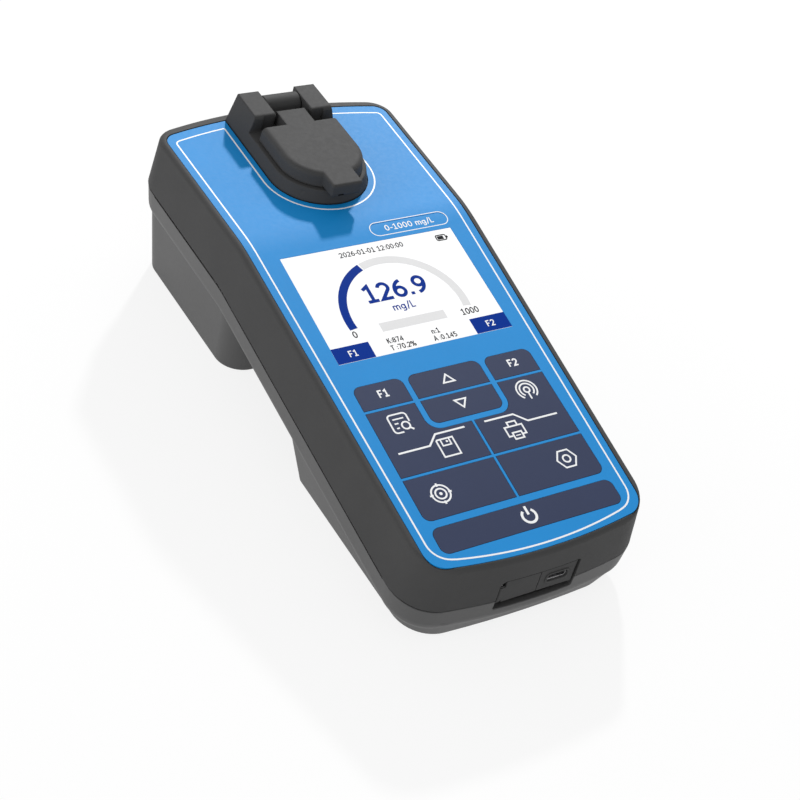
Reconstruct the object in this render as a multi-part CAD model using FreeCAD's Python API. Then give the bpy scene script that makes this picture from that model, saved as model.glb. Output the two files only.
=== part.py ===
import FreeCAD, Part
import math
import os

from FreeCAD import Vector as V

# Portable suspended solids meter. Millimetres, +Z up, +Y to the rear where the sample lid is,
# origin in the middle of the resting face.

# Driving sizes of the case
LENGTH = 227.0          # over the lower edge of the upper shell, front to rear
CASE_Z = 61.0           # height of the level rear top face above the table
SLOPE = 9.5             # how far the keypad face tips down to the front, degrees
WELL_Y = LENGTH / 2 - 46.2      # middle of the sample well
BEND_Y = WELL_Y - 33.3  # where the level face turns into the keypad face
BEND_R = 70.0           # radius of that turn
WALL = 2.4              # moulded wall of both shells
BASE_Z = 0.5            # height of the moulded underside, which stands on rubber pads

# Half width of the rim at the bend, measured at the level of the top face, and how the walls
# run from there: narrower to the front, wider to the rear, and flared below the rim
RIM_HALF = 49.5
FRONT_RUN = 0.0562      # loss of half width for each millimetre to the front
REAR_RUN = 0.0217       # gain of half width for each millimetre to the rear
SIDE_TURN = 600.0       # radius that joins the two straight runs of each side
SIDE_FLARE = 0.188      # outward run of the side wall for each millimetre down
REAR_FLARE = 0.15
FRONT_FLARE = 0.004
REAR_BULGE = 6.9        # how far the middle of the rear wall stands out at the rim
BULGE_EASE = 0.088      # and how much less for each millimetre down
FRONT_BULGE = 4.9
RIM_CORNER_REAR = 9.0   # corner radii in plan, at the rim and at the parting line
RIM_CORNER_FRONT = 13.0
PART_CORNER = 16.0
RIM_ROUND = 2.0         # roll of the top edge

# Parting line and the lower shell
PART_DEPTH = 19.3       # below the top face, and parallel to it
PART_GAP = 0.5          # the seam that holds the gasket
BELLY_DEPTH = 33.2      # flat underside between the cell box and the foot
BELLY_ROUND = 6.2
LOWER_TUCK = 0.10       # inward run of the lower side wall for each millimetre down
LOWER_REAR_TUCK = 0.03
LOWER_FRONT_TUCK = 0.033

# Cell box, the deep part under the lid
BOX_REAR_Y = LENGTH / 2 - 8.0
BOX_FRONT_Y = WELL_Y - 36.8
BOX_HALF = 46.7         # at the bend
BOX_RUN = 0.0307
BOX_REAR_BULGE = 2.2
BOX_DRAFT = 0.10
BOX_SIDE_DRAFT = 0.06
BOX_CORNER = 10.5

# Foot at the front, which holds the battery
FOOT_LENGTH = 81.4
FOOT_FRONT_Y = -LENGTH / 2 + 6.3
FOOT_REAR_Y = FOOT_FRONT_Y + FOOT_LENGTH
FOOT_FRONT_BULGE = 2.0
FOOT_HALF = 44.8        # at its rear edge
FOOT_RUN = 0.027
FOOT_DRAFT = 0.25
FOOT_REAR_DRAFT = 0.16
FOOT_FRONT_DRAFT = 0.33
FOOT_CORNER_FRONT = 14.0
FOOT_CORNER_REAR = 3.5
FOOT_FLOOR = 4.2        # thick enough for the battery door and its ledge

# Front overlay: one bent sheet that carries the display window and the keys
OVERLAY_T = 0.6
OVERLAY_SUNK = 0.15     # its face lies this far below the rim
OVERLAY_GAP = 0.3       # groove all round
OVERLAY_INSET = 2.6     # from the rim's corner to the edge of the sheet, at the sides
OVERLAY_REAR_INSET = 4.4
OVERLAY_FRONT_INSET = 2.0
OVERLAY_REAR_BULGE = 5.9
OVERLAY_FRONT_BULGE = 4.0
OVERLAY_CORNER_REAR = 5.5
OVERLAY_CORNER_FRONT = 8.0

# Display, in the keypad face
DISPLAY_W = 72.9
DISPLAY_H = 50.1
DISPLAY_S = 34.3        # slope distance from the bend to the middle of the display
LENS_T = 0.9
LENS_CLEAR = 0.1
LENS_SUNK = 0.05        # its face lies this far below the overlay's
LENS_LIP = 2.0          # how far the lens seats beyond the window
MODULE_T = 3.6
MODULE_EDGE = 2.5       # border of the display module round the window

# Keys, in keypad coordinates: x across, v up the slope from the middle of the display
KEY_HALF = 36.7
KEY_TOP = -DISPLAY_H / 2 - 10.45
KEYPAD_FRONT = 9.85     # from the power key to the front corner of the case
ROW_SHARE = 0.146       # lower edges of the rows, as shares of the keypad's length
ARROW_SHARE = 0.3076
FUNCTION_SHARE = 0.5536
SETUP_SHARE = 0.8126
POWER_SHARE = 0.8555    # upper edge of the power key
KEY_LINE = 1.2          # thin line between keys
KEY_BAND = 2.4          # wide line round the two arrow keys
ARROW_HALF = 14.8
KEY_CORNER = 3.0
KEY_T = 0.9
KEY_CLEAR = 0.15        # between a key and the overlay round it
KEY_TRAVEL = 0.35
KEY_SPARE = 0.15        # left between the plunger and its dome at full travel
PLUNGER_R = 2.0
DOME_R = 4.0
DOME_TOP_R = 1.6
DOME_H = 0.5

# Circuit boards
BOARD_T = 1.6
KEY_BOARD_EDGE = 4.0    # border of the key board above the opening for the keys
KEY_BOARD_LOW_EDGE = 1.5
KEY_BOARD_IN = 7.8      # from the rim to the side of the key board
KEY_HOLE_EDGE = 1.0     # opening in the shell round the keys
MAIN_BOARD_DEPTH = 12.5
MAIN_BOARD_HALF = 35.0
MAIN_BOARD_TOP = 30.0
MAIN_BOARD_LOW = -78.0
SPACER_R = 2.5
SPACER_X = 30.0
SPACER_V = 22.0         # two pairs under the display module
SPACER_LOW_V = -72.0    # one pair under the key board
CHIPS = [               # x, v, width, height and thickness of each, under the main board
    (-12, 2, 14, 14, 1.6),
    (14, 4, 10, 10, 1.4),
    (-10, -34, 12, 8, 2.0),
    (16, -28, 8, 8, 1.6),
    (0, -58, 16, 6, 3.0),
]
CLOCK_CELL = (-22, -16, 10.0, 3.2)      # x, v, radius and thickness
BUZZER = (24, -52, 6.0, 4.5)

# Sample well, collar and lid
WELL_R = 12.7           # takes a 25 mm round cell
WELL_FLOOR_Z = 8.0
HOLDER_R = 15.6
HOLDER_MOUTH_R = 13.6
HOLDER_LEAD_IN = 3.0
HOLDER_GAP = 0.2
HOLDER_FLANGE_R = 20.6
HOLDER_FLANGE_T = 3.0
LIGHT_Z = 30.0          # height of the light path
LIGHT_R = 2.5
PANE_T = 1.0
PANE_SUNK = 0.4         # between the well and each pane
LAMP_REACH = 4.0        # how far lamp and detectors stand out of the holder
SIDE_BOARD_HALF = 15.0
SIDE_BOARD_ABOVE = 14.0
COLLAR_HALF = 20.0
COLLAR_H = 5.2
COLLAR_DRAFT = 0.28
COLLAR_REAR_Y = WELL_Y + 39.9
COLLAR_BORE_R = 14.6
EAR_TOP = 12.1          # above the top face
EAR_INNER = 7.8
EAR_FRONT_Y = WELL_Y + 23.1
EAR_ROUND = 1.6
PIN_Y = WELL_Y + 34.9
PIN_Z = 7.4             # above the top face
PIN_R = 1.5
PIN_HALF = 14.0
PIN_CLEAR = 0.05
BARREL_R = 4.6
BARREL_SIDE = 0.4       # side play between the barrel and the ears
BARREL_ROOM = 2.2       # in front of the barrel, for the web that swings there
BARREL_LOW_ROOM = 0.5
EAR_REAR_LEAN = 0.6
LID_TOP = 11.1          # above the top face
LID_REST = 0.3          # gap between the lid and the collar
LID_HALF = 17.0         # at its lower edge
LID_DRAFT = 0.14
LID_ROUND = 2.2
LID_REAR_Y = WELL_Y + 17.3
LID_WALL = 2.0
TAB_HALF = 6.5
TAB_FRONT_Y = WELL_Y - 22.8
TAB_ROUND = 1.0
TONGUE_HALF = 6.1
TONGUE_REAR_Y = WELL_Y + 26.3
WEB_TOP = 8.2           # above the top face, lower than the barrel
EAR_STEP = 0.6          # the inner part of each ear's front face stands back by this
EAR_STEP_WIDE = 5.2
SEAL_T = 1.0
SEAL_IN = 1.5

# Port recess on the front wall
PORT_HALF = 16.4
PORT_ABOVE = 9.35       # from the parting line at the front up to the top of the recess
PORT_BELOW = 4.85       # and down to its lower edge
PORT_CORNER = 2.6       # upper left corner
PORT_SMALL_CORNER = 0.9
PORT_CUT = 5.0          # reach of the opening behind the front of the case
PORT_FLOOR = 3.3        # depth of the frame's face behind the front of the case
PORT_RIM_GAP = 0.9      # slot beside the port pieces
PORT_TOP_GAP = 0.45
PORT_LOW_GAP = 2.8      # wide slot below them, for a fingernail
PORT_SPLIT_X = 0.7
PORT_SPLIT_GAP = 0.3
PORT_PIECE_T = 2.3
PORT_FRAME_T = 3.1
PORT_FRAME_EDGE = 1.2
SOCKET_X = 8.25
SOCKET_ABOVE = 3.15     # from the parting line up to the middle of the socket and the jack
SOCKET_W = 8.4
SOCKET_H = 3.5
SOCKET_CORNER = 1.0
SOCKET_RIM = 0.8
SOCKET_RIM_T = 0.3
SOCKET_DEEP = 7.5
SOCKET_WALL = 0.4
SOCKET_CLEAR = 0.1
SOCKET_SUNK = 0.4       # its mouth lies this far behind the plate's face
BLADE_HALF = 3.0
BLADE_T = 0.7
JACK_X = -7.4
JACK_R = 2.8
JACK_BORE_R = 1.9
JACK_CORE_R = 0.65
FLAP_PIN_R = 0.6
FLAP_SIDE = 0.3         # between the hinge barrel and the side of the recess
FLAP_BARREL_LOW = 1.0   # the barrel starts this far above the flap's lower edge
FLAP_BARREL_TOP = 3.4   # and ends this far below its upper edge
FLAP_CORNER = 1.4       # cut-away corners above and below the barrel
LUG_T = 0.8
LUG_HALF = 0.9
PORT_BOARD_HALF = 15.0

# Fasteners
SCREW_R = 1.5
SCREW_HEAD_R = 2.75
SCREW_HEAD_H = 2.2
BOSS_R = 4.2
BOSS_GAP = 0.3
SCREW_SEAT = 9.0        # from the parting line down to the head's seat
SCREW_SEAT_FOOT = 8.0
SCREW_BITE = 7.0        # thread above the parting line
SMALL_SCREW_R = 1.0
SMALL_HEAD_R = 1.9
SMALL_HEAD_H = 1.3
SMALL_SCREW_BITE = 3.0
SCREW_TIP = 0.5         # a blind hole is this much deeper than its screw
HINGE_SCREW_X = 12.5    # the two collar screws behind the hinge
HINGE_SCREW_Y = PIN_Y - 0.7
CASE_SCREWS = [         # x, y and the part of the lower shell that each stands in
    (41.0, LENGTH / 2 - 17.5, "box"),
    (-41.0, LENGTH / 2 - 17.5, "box"),
    (43.5, BEND_Y - 26.0, "belly"),
    (-43.5, BEND_Y - 26.0, "belly"),
    (35.0, -LENGTH / 2 + 13.0, "foot"),
    (-35.0, -LENGTH / 2 + 13.0, "foot"),
]
SCREW_CLEAR = 0.1       # round a shank that passes through a piece
HEAD_CLEAR = 0.2
HEAD_SUNK = 0.2         # a door screw's head lies this far inside the door

# Battery bay
BATTERY_R = 9.2
BATTERY_LEN = 65.0
BATTERY_Y = FOOT_FRONT_Y + FOOT_LENGTH / 2
DOOR_HALF = 30.0
DOOR_REAR_Y = FOOT_REAR_Y - 8.2
DOOR_FRONT_Y = FOOT_FRONT_Y + 9.2
DOOR_CORNER = 2.0
DOOR_T = 2.0
DOOR_LEDGE = 5.0        # the door rests on this much of the floor at its sides
DOOR_END_LEDGE = 8.0    # and on this much at its ends, where its screws go
DOOR_SCREW_IN = 4.0
DOOR_GAP = 0.25
PAD_R = 4.0
PAD_T = 1.2
PAD_SEAT = 0.7
PAD_GAP = 0.15
PADS = [                # x and y of the resting pads
    (38.0, LENGTH / 2 - 31.5),
    (-38.0, LENGTH / 2 - 31.5),
    (36.0, -LENGTH / 2 + 29.5),
    (-36.0, -LENGTH / 2 + 29.5),
]
REACH = 160.0           # cutting solids run this far, past every side of the case
CUT = 10.0              # and this far past the face of a thin wall
LOFT_DEPTH = 48.0       # the shells' walls are drawn down to here before they are trimmed

slope = math.radians(SLOPE)
half_length = LENGTH / 2
part_rear_bulge = REAR_BULGE - PART_DEPTH * BULGE_EASE
rim_rear_y = half_length - PART_DEPTH * REAR_FLARE - part_rear_bulge
part_front_drop = (BEND_Y + half_length) * math.tan(slope) + PART_DEPTH / math.cos(slope)
port_top_z = CASE_Z - part_front_drop + PORT_ABOVE
port_low_z = CASE_Z - part_front_drop - PORT_BELOW
socket_z = CASE_Z - part_front_drop + SOCKET_ABOVE
rim_front_y = -half_length + FRONT_BULGE + part_front_drop * FRONT_FLARE
display_y = BEND_Y - DISPLAY_S * math.cos(slope)
display_z = CASE_Z - DISPLAY_S * math.sin(slope)

# Rows of the keypad, down the slope from the middle of the display
power_low = -((BEND_Y + half_length) / math.cos(slope) - DISPLAY_S - KEYPAD_FRONT)
keypad_length = KEY_TOP - power_low
key_row = KEY_TOP - keypad_length * ROW_SHARE
arrow_low = KEY_TOP - keypad_length * ARROW_SHARE
function_low = KEY_TOP - keypad_length * FUNCTION_SHARE
setup_low = KEY_TOP - keypad_length * SETUP_SHARE
power_top = KEY_TOP - keypad_length * POWER_SHARE


def save(shape, node):
    shape.exportStep("parts/" + node + ".step")


def block(x0, x1, y0, y1, z0, z1):
    return Part.makeBox(x1 - x0, y1 - y0, z1 - z0, V(x0, y0, z0))


def tube_z(x, y, z0, z1, radius):
    return Part.makeCylinder(radius, z1 - z0, V(x, y, z0), V(0, 0, 1))


def rod_x(x0, x1, y, z, radius):
    return Part.makeCylinder(radius, x1 - x0, V(x0, y, z), V(1, 0, 0))


def rod_y(x, y0, y1, z, radius):
    return Part.makeCylinder(radius, y1 - y0, V(x, y0, z), V(0, 1, 0))


def tilt(shape):
    """Carry a shape from keypad coordinates, whose origin is the middle of the display."""
    moved = shape.copy()
    moved.rotate(V(0, 0, 0), V(1, 0, 0), SLOPE)
    moved.translate(V(0, display_y, display_z))
    return moved


def upright_edges(solid):
    found = []
    for edge in solid.Edges:
        a, b = edge.Vertexes[0].Point, edge.Vertexes[-1].Point
        if abs(a.z - b.z) > 0.1 and abs(a.x - b.x) + abs(a.y - b.y) < 1e-6:
            found.append(edge)
    return found


def side_run(front, bend, rear):
    """One side in plan: two straight runs joined by a wide arc."""
    to_front = (front - bend).normalize()
    to_rear = (rear - bend).normalize()
    half = to_front.getAngle(to_rear) / 2
    a = bend + to_front * (SIDE_TURN / math.tan(half))
    b = bend + to_rear * (SIDE_TURN / math.tan(half))
    middle = bend + (to_front + to_rear).normalize() * (SIDE_TURN / math.sin(half) - SIDE_TURN)
    return [Part.LineSegment(front, a).toShape(), Part.Arc(a, middle, b).toShape(),
            Part.LineSegment(b, rear).toShape()]


def plan_outline(z, rear_y, front_y, half, front_run, rear_run, rear_bulge, front_bulge, r_rear, r_front):
    """Closed outline in plan: bowed ends, round corners, and sides that turn a little at the bend."""
    front = half - front_run * (BEND_Y - front_y)
    rear = half + rear_run * (rear_y - BEND_Y)
    edges = []
    for s in (1, -1):
        a, b = V(s * front, front_y, z), V(s * rear, rear_y, z)
        turned = front_run != rear_run
        edges += side_run(a, V(s * half, BEND_Y, z), b) if turned else [Part.LineSegment(a, b).toShape()]
    for width, y, bulge in ((rear, rear_y, rear_bulge), (front, front_y, -front_bulge)):
        a, b = V(-width, y, z), V(width, y, z)
        end = Part.Arc(a, V(0, y + bulge, z), b) if bulge else Part.LineSegment(a, b)
        edges.append(end.toShape())
    prism = Part.Face(Part.Wire(Part.__sortEdges__(edges))).extrude(V(0, 0, 1))
    for y, radius in ((rear_y, r_rear), (front_y, r_front)):
        corners = [e for e in upright_edges(prism) if abs(e.Vertexes[0].Point.y - y) < 1e-4]
        prism = prism.makeFillet(radius, corners)
    for face in prism.Faces:
        box = face.BoundBox
        if abs(box.ZMin - z) < 1e-6 and abs(box.ZMax - z) < 1e-6:
            return face.OuterWire
    raise ValueError("no outline at this level")


def case_point(depth, angle_end):
    """A tangent point of the bend, at a depth below the top face."""
    centre = V(0, BEND_Y + BEND_R * math.tan(slope / 2), CASE_Z - BEND_R)
    radius = BEND_R - depth
    return V(0, centre.y - radius * math.sin(angle_end), centre.z + radius * math.cos(angle_end))


def bent_slab(depth_top, depth_low):
    """Everything between two depths below the bent top face."""
    edges = []
    ends = []
    for depth in (depth_top, depth_low):
        rear = case_point(depth, 0.0)
        mid = case_point(depth, slope / 2)
        fore = case_point(depth, slope)
        far = V(0, REACH, rear.z)
        run = (fore.y + REACH) / math.cos(slope)
        near = V(0, fore.y - run * math.cos(slope), fore.z - run * math.sin(slope))
        edges += [Part.LineSegment(far, rear).toShape(), Part.Arc(rear, mid, fore).toShape(),
                  Part.LineSegment(fore, near).toShape()]
        ends.append((far, near))
    edges.append(Part.LineSegment(ends[0][0], ends[1][0]).toShape())
    edges.append(Part.LineSegment(ends[0][1], ends[1][1]).toShape())
    face = Part.Face(Part.Wire(Part.__sortEdges__(edges)))
    slab = face.extrude(V(2 * REACH, 0, 0))
    slab.translate(V(-REACH, 0, 0))
    return slab


def depth_of(point):
    """Depth of a point below the bent top face."""
    level = CASE_Z - point.z
    sloped = (BEND_Y - point.y) * math.sin(slope) * -1 + (CASE_Z - point.z) * math.cos(slope)
    return level if point.y > BEND_Y + BEND_R * math.tan(slope / 2) else sloped


def middle_of(edge):
    return edge.valueAt((edge.FirstParameter + edge.LastParameter) / 2)


def wall_between(high, low):
    """Flat wall between two straight edges, or a ruled one between two arcs."""
    if high.Curve.TypeId != "Part::GeomLine":
        return Part.makeRuledSurface(high, low)
    a, b = [v.Point for v in high.Vertexes]
    c, d = [v.Point for v in low.Vertexes]
    if (b - c).Length > (b - d).Length:
        c, d = d, c
    return Part.Face(Part.makePolygon([a, b, c, d, a]))


def tapered(z_high, high, z_low, low):
    """Solid between two outlines, edge by edge, so that its straight walls are true planes."""
    top, foot_wire = high(z_high), low(z_low)
    shift = V(0, 0, z_low - z_high)
    walls = []
    for edge in top.Edges:
        near = min(foot_wire.Edges, key=lambda e: (middle_of(e) - middle_of(edge) - shift).Length)
        walls.append(wall_between(edge, near))
    shell = Part.makeShell(walls + [Part.Face(top), Part.Face(foot_wire)])
    shell.sewShape()
    solid = Part.makeSolid(shell)
    if solid.Volume < 0:
        solid.reverse()
    return solid


def upper_outline(inset, corner_rear, corner_front):
    def at(z):
        down = CASE_Z - z
        return plan_outline(
            z, rim_rear_y + down * REAR_FLARE - inset, rim_front_y - down * FRONT_FLARE + inset,
            RIM_HALF + down * SIDE_FLARE - inset, FRONT_RUN, REAR_RUN,
            REAR_BULGE - down * BULGE_EASE, FRONT_BULGE,
            max(corner_rear - inset, 1.0), max(corner_front - inset, 1.0))
    return at


def upper_block(inset, top_depth, low_depth):
    """The upper shell's outer form, or its hollow when it is set in by the wall."""
    body = tapered(CASE_Z + 2, upper_outline(inset, RIM_CORNER_REAR, RIM_CORNER_FRONT),
                   CASE_Z - LOFT_DEPTH, upper_outline(inset, PART_CORNER + 7, PART_CORNER + 2))
    return body.common(bent_slab(top_depth, low_depth))


def lower_outline(inset, level_z):
    """The lower shell's wall, which tucks in below the parting line."""
    part_half = RIM_HALF + PART_DEPTH * SIDE_FLARE
    front_run = FRONT_RUN - (SIDE_FLARE + LOWER_TUCK) * math.tan(slope)

    def at(z):
        down = level_z - z
        rise = part_front_drop - PART_DEPTH
        return plan_outline(
            z, rim_rear_y + PART_DEPTH * REAR_FLARE - down * LOWER_REAR_TUCK - inset,
            rim_front_y - part_front_drop * FRONT_FLARE + (down - rise) * LOWER_FRONT_TUCK + inset,
            part_half - down * LOWER_TUCK - inset, front_run, REAR_RUN,
            part_rear_bulge, FRONT_BULGE, PART_CORNER - inset, PART_CORNER - inset)
    return at


def lower_block(inset, top_depth, low_depth):
    level = CASE_Z - PART_DEPTH
    body = tapered(level + 4, lower_outline(inset, level), level - LOFT_DEPTH, lower_outline(inset, level))
    return body.common(bent_slab(top_depth, low_depth))


def round_edges_at(solid, depth, radius):
    edges = [e for e in solid.Edges if e.Length > 0.5 and all(
        abs(depth_of(e.valueAt(e.FirstParameter + f * (e.LastParameter - e.FirstParameter))) - depth) < 0.35
        for f in (0.02, 0.5, 0.98))]
    return solid.makeFillet(radius, edges)


def cell_box(inset, floor_z, top_z):
    def at(z):
        grow = z * BOX_DRAFT
        return plan_outline(z, BOX_REAR_Y + grow - inset, BOX_FRONT_Y - grow + inset,
                            BOX_HALF + z * BOX_SIDE_DRAFT - inset, BOX_RUN, BOX_RUN, BOX_REAR_BULGE, 0.0,
                            BOX_CORNER - inset, BOX_CORNER - inset)
    return tapered(top_z, at, floor_z, at)


def foot(inset, floor_z, top_z):
    def at(z):
        half = FOOT_HALF + FOOT_RUN * (BEND_Y - FOOT_REAR_Y) + z * FOOT_DRAFT - inset
        return plan_outline(z, FOOT_REAR_Y + z * FOOT_REAR_DRAFT - inset,
                            FOOT_FRONT_Y - z * FOOT_FRONT_DRAFT + inset,
                            half, FOOT_RUN, FOOT_RUN, 0.0, FOOT_FRONT_BULGE,
                            max(FOOT_CORNER_REAR - inset, 1.0), FOOT_CORNER_FRONT - inset)
    return tapered(top_z, at, floor_z, at)


def overlay_sheet(inset, top_depth, low_depth):
    """A bent sheet inside the rim; the outline is upright, so its edge stays even all round."""
    rear_y = rim_rear_y + REAR_BULGE - OVERLAY_REAR_INSET - OVERLAY_REAR_BULGE - inset
    front_y = -half_length + OVERLAY_FRONT_INSET + OVERLAY_FRONT_BULGE + inset
    outline = plan_outline(0, rear_y, front_y, RIM_HALF - OVERLAY_INSET - inset,
                           FRONT_RUN - SIDE_FLARE * math.tan(slope), REAR_RUN, OVERLAY_REAR_BULGE,
                           OVERLAY_FRONT_BULGE, OVERLAY_CORNER_REAR - inset, OVERLAY_CORNER_FRONT - inset)
    return Part.Face(outline).extrude(V(0, 0, CASE_Z + 5)).common(bent_slab(top_depth, low_depth))


def collar_outline(z, half, rear_y):
    """D outline of the collar: round to the front, straight sides, square to the rear."""
    a, b = V(half, rear_y, z), V(-half, rear_y, z)
    c, d = V(-half, WELL_Y, z), V(half, WELL_Y, z)
    return Part.Wire([Part.LineSegment(a, b).toShape(), Part.LineSegment(b, c).toShape(),
                      Part.Arc(c, V(0, WELL_Y - half, z), d).toShape(), Part.LineSegment(d, a).toShape()])


def d_prism(half, rear_y, z0, z1):
    return Part.Face(collar_outline(z0, half, rear_y)).extrude(V(0, 0, z1 - z0))


# Keys, drawn flat in keypad coordinates as outlines of straight runs with some round corners
def flat_polygon(points, z0, height, rounds=()):
    """Upright prism over a polygon; rounds gives the corners by number with their radius."""
    corners = [V(x, v, z0) for x, v in points]
    solid = Part.Face(Part.makePolygon(corners + [corners[0]])).extrude(V(0, 0, height))
    for index, radius in rounds:
        edge = [e for e in upright_edges(solid) if abs(e.Vertexes[0].Point.x - corners[index].x) < 1e-3
                and abs(e.Vertexes[0].Point.y - corners[index].y) < 1e-3]
        solid = solid.makeFillet(radius, edge)
    return solid


def mirrored(points):
    return [(-x, v) for x, v in points]


def key_shapes(grow, z0, height):
    """Every key as a prism, made larger all round by grow for the holes in the overlay."""
    g = grow
    arrow_out = ARROW_HALF + KEY_BAND
    low = key_row - KEY_LINE
    f_key = [(-KEY_HALF - g, KEY_TOP + g), (-arrow_out + g, KEY_TOP + g), (-arrow_out + g, key_row - g),
             (-KEY_HALF - g, key_row - g)]
    wide = [(-KEY_HALF - g, low + g), (-arrow_out + g, low + g), (-arrow_out + g, arrow_low - KEY_BAND + g),
            (-KEY_LINE / 2 + g, arrow_low - KEY_BAND + g), (-KEY_LINE / 2 + g, function_low - g),
            (-KEY_HALF - g, function_low - g)]
    setup = [(-KEY_HALF - g, function_low - KEY_LINE + g), (-KEY_LINE / 2 + g, function_low - KEY_LINE + g),
             (-KEY_LINE / 2 + g, setup_low - g), (-KEY_HALF - g, setup_low - g)]
    up = [(-ARROW_HALF - g, KEY_TOP + g), (ARROW_HALF + g, KEY_TOP + g), (ARROW_HALF + g, key_row - g),
          (-ARROW_HALF - g, key_row - g)]
    down = [(-ARROW_HALF - g, low + g), (ARROW_HALF + g, low + g), (ARROW_HALF + g, arrow_low - g),
            (-ARROW_HALF - g, arrow_low - g)]
    power = [(-KEY_HALF - g, power_top + g), (KEY_HALF + g, power_top + g), (KEY_HALF + g, power_low - g),
             (-KEY_HALF - g, power_low - g)]
    r = KEY_CORNER + g
    return {
        "key_f1": flat_polygon(f_key, z0, height, [(0, r), (1, r)]),
        "key_f2": flat_polygon(mirrored(f_key), z0, height, [(0, r), (1, r)]),
        "key_up": flat_polygon(up, z0, height, [(0, r), (1, r)]),
        "key_down": flat_polygon(down, z0, height, [(2, r), (3, r)]),
        "key_view_save": flat_polygon(wide, z0, height, [(2, KEY_CORNER + KEY_BAND - g)]),
        "key_send_print": flat_polygon(mirrored(wide), z0, height, [(2, KEY_CORNER + KEY_BAND - g)]),
        "key_calibrate": flat_polygon(setup, z0, height, [(3, r)]),
        "key_settings": flat_polygon(mirrored(setup), z0, height, [(3, r)]),
        "key_power": flat_polygon(power, z0, height, [(0, r), (1, r), (2, r), (3, r)]),
    }


arrow_out = ARROW_HALF + KEY_BAND
side_x = (KEY_HALF + arrow_out) / 2
plunger_at = {
    "key_f1": (-side_x, (KEY_TOP + key_row) / 2),
    "key_f2": (side_x, (KEY_TOP + key_row) / 2),
    "key_up": (0, (KEY_TOP + key_row) / 2),
    "key_down": (0, (key_row - KEY_LINE + arrow_low) / 2),
    "key_view_save": (-side_x, (arrow_low - KEY_BAND + function_low) / 2),
    "key_send_print": (side_x, (arrow_low - KEY_BAND + function_low) / 2),
    "key_calibrate": (-side_x / 1.4, (function_low - KEY_LINE + setup_low) / 2),
    "key_settings": (side_x / 1.4, (function_low - KEY_LINE + setup_low) / 2),
    "key_power": (0, (power_top + power_low) / 2),
}
key_face = -OVERLAY_SUNK
key_low = key_face - KEY_T
key_board_top = -WALL
dome_top = key_board_top + DOME_H
plunger_low = dome_top + KEY_SPARE + KEY_TRAVEL


def surface_z(y, depth):
    """Height of the bent face at a place, at a depth below the top."""
    if y > BEND_Y:
        return CASE_Z - depth
    return CASE_Z - (BEND_Y - y) * math.tan(slope) - depth / math.cos(slope)


def screw_seat_z(place):
    x, y, kind = place
    part_z = surface_z(y, PART_DEPTH + PART_GAP)
    return part_z - (SCREW_SEAT_FOOT if kind == "foot" else SCREW_SEAT)


def make_upper_case():
    outer = round_edges_at(upper_block(0, 0, PART_DEPTH), 0, RIM_ROUND)
    hollow = upper_block(WALL, WALL, PART_DEPTH + 1)
    shell = outer.cut(hollow)
    pocket_low = OVERLAY_SUNK + OVERLAY_T
    shell = shell.cut(overlay_sheet(-OVERLAY_GAP, -3, pocket_low))
    # Bosses for the case screws run down from the roof
    bosses = []
    for place in CASE_SCREWS:
        x, y, _ = place
        bosses.append(tube_z(x, y, surface_z(y, PART_DEPTH) - 1, CASE_Z, BOSS_R))
    roof = upper_block(WALL / 2, WALL / 2, PART_DEPTH)
    shell = shell.fuse([b.common(roof) for b in bosses])
    # Openings: display, keys, well mouth
    display_hole = block(-DISPLAY_W / 2, DISPLAY_W / 2, -DISPLAY_H / 2, DISPLAY_H / 2, -CUT, CUT)
    lens_seat = block(-DISPLAY_W / 2 - LENS_LIP, DISPLAY_W / 2 + LENS_LIP, -DISPLAY_H / 2 - LENS_LIP,
                      DISPLAY_H / 2 + LENS_LIP, -pocket_low - LENS_T, 1)
    hole_x = KEY_HALF + KEY_HOLE_EDGE
    hole_top = KEY_TOP + KEY_HOLE_EDGE
    hole_low = power_low - KEY_HOLE_EDGE
    hole_corners = [(-hole_x, hole_top), (hole_x, hole_top), (hole_x, hole_low), (-hole_x, hole_low)]
    keys_hole = flat_polygon(hole_corners, -CUT, 2 * CUT, [(i, KEY_CORNER) for i in range(4)])
    cuts = [tilt(display_hole), tilt(lens_seat), tilt(keys_hole),
            tube_z(0, WELL_Y, CASE_Z - CUT, CASE_Z + CUT, HOLDER_R + HOLDER_GAP)]
    for place in CASE_SCREWS:
        x, y, _ = place
        part_z = surface_z(y, PART_DEPTH)
        cuts.append(tube_z(x, y, part_z - 2, part_z + 8, SCREW_R))
    for x, y in collar_screw_places:
        cuts.append(tube_z(x, y, CASE_Z - WALL - 1, CASE_Z + 1, SMALL_SCREW_R + SCREW_CLEAR))
    cuts.append(port_recess())
    return shell.cut(cuts)


def port_recess():
    """The recess in the front wall, with round upper corners, which both shells share."""
    y0 = -half_length - 4
    y1 = -half_length + PORT_CUT
    points = [V(-PORT_HALF, y0, port_low_z), V(PORT_HALF, y0, port_low_z), V(PORT_HALF, y0, port_top_z),
              V(-PORT_HALF, y0, port_top_z)]
    solid = Part.Face(Part.makePolygon(points + [points[0]])).extrude(V(0, y1 - y0, 0))
    along = [e for e in solid.Edges if abs(e.tangentAt(e.FirstParameter).y) > 0.99]
    small = [e for e in along if not (e.Vertexes[0].Point.x < 0 and e.Vertexes[0].Point.z > port_top_z - 1)]
    solid = solid.makeFillet(PORT_SMALL_CORNER, small)
    big = [e for e in solid.Edges if abs(e.tangentAt(e.FirstParameter).y) > 0.99
           and (e.Vertexes[0].Point - V(-PORT_HALF, e.Vertexes[0].Point.y, port_top_z)).Length < 0.01]
    return solid.makeFillet(PORT_CORNER, big)


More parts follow.
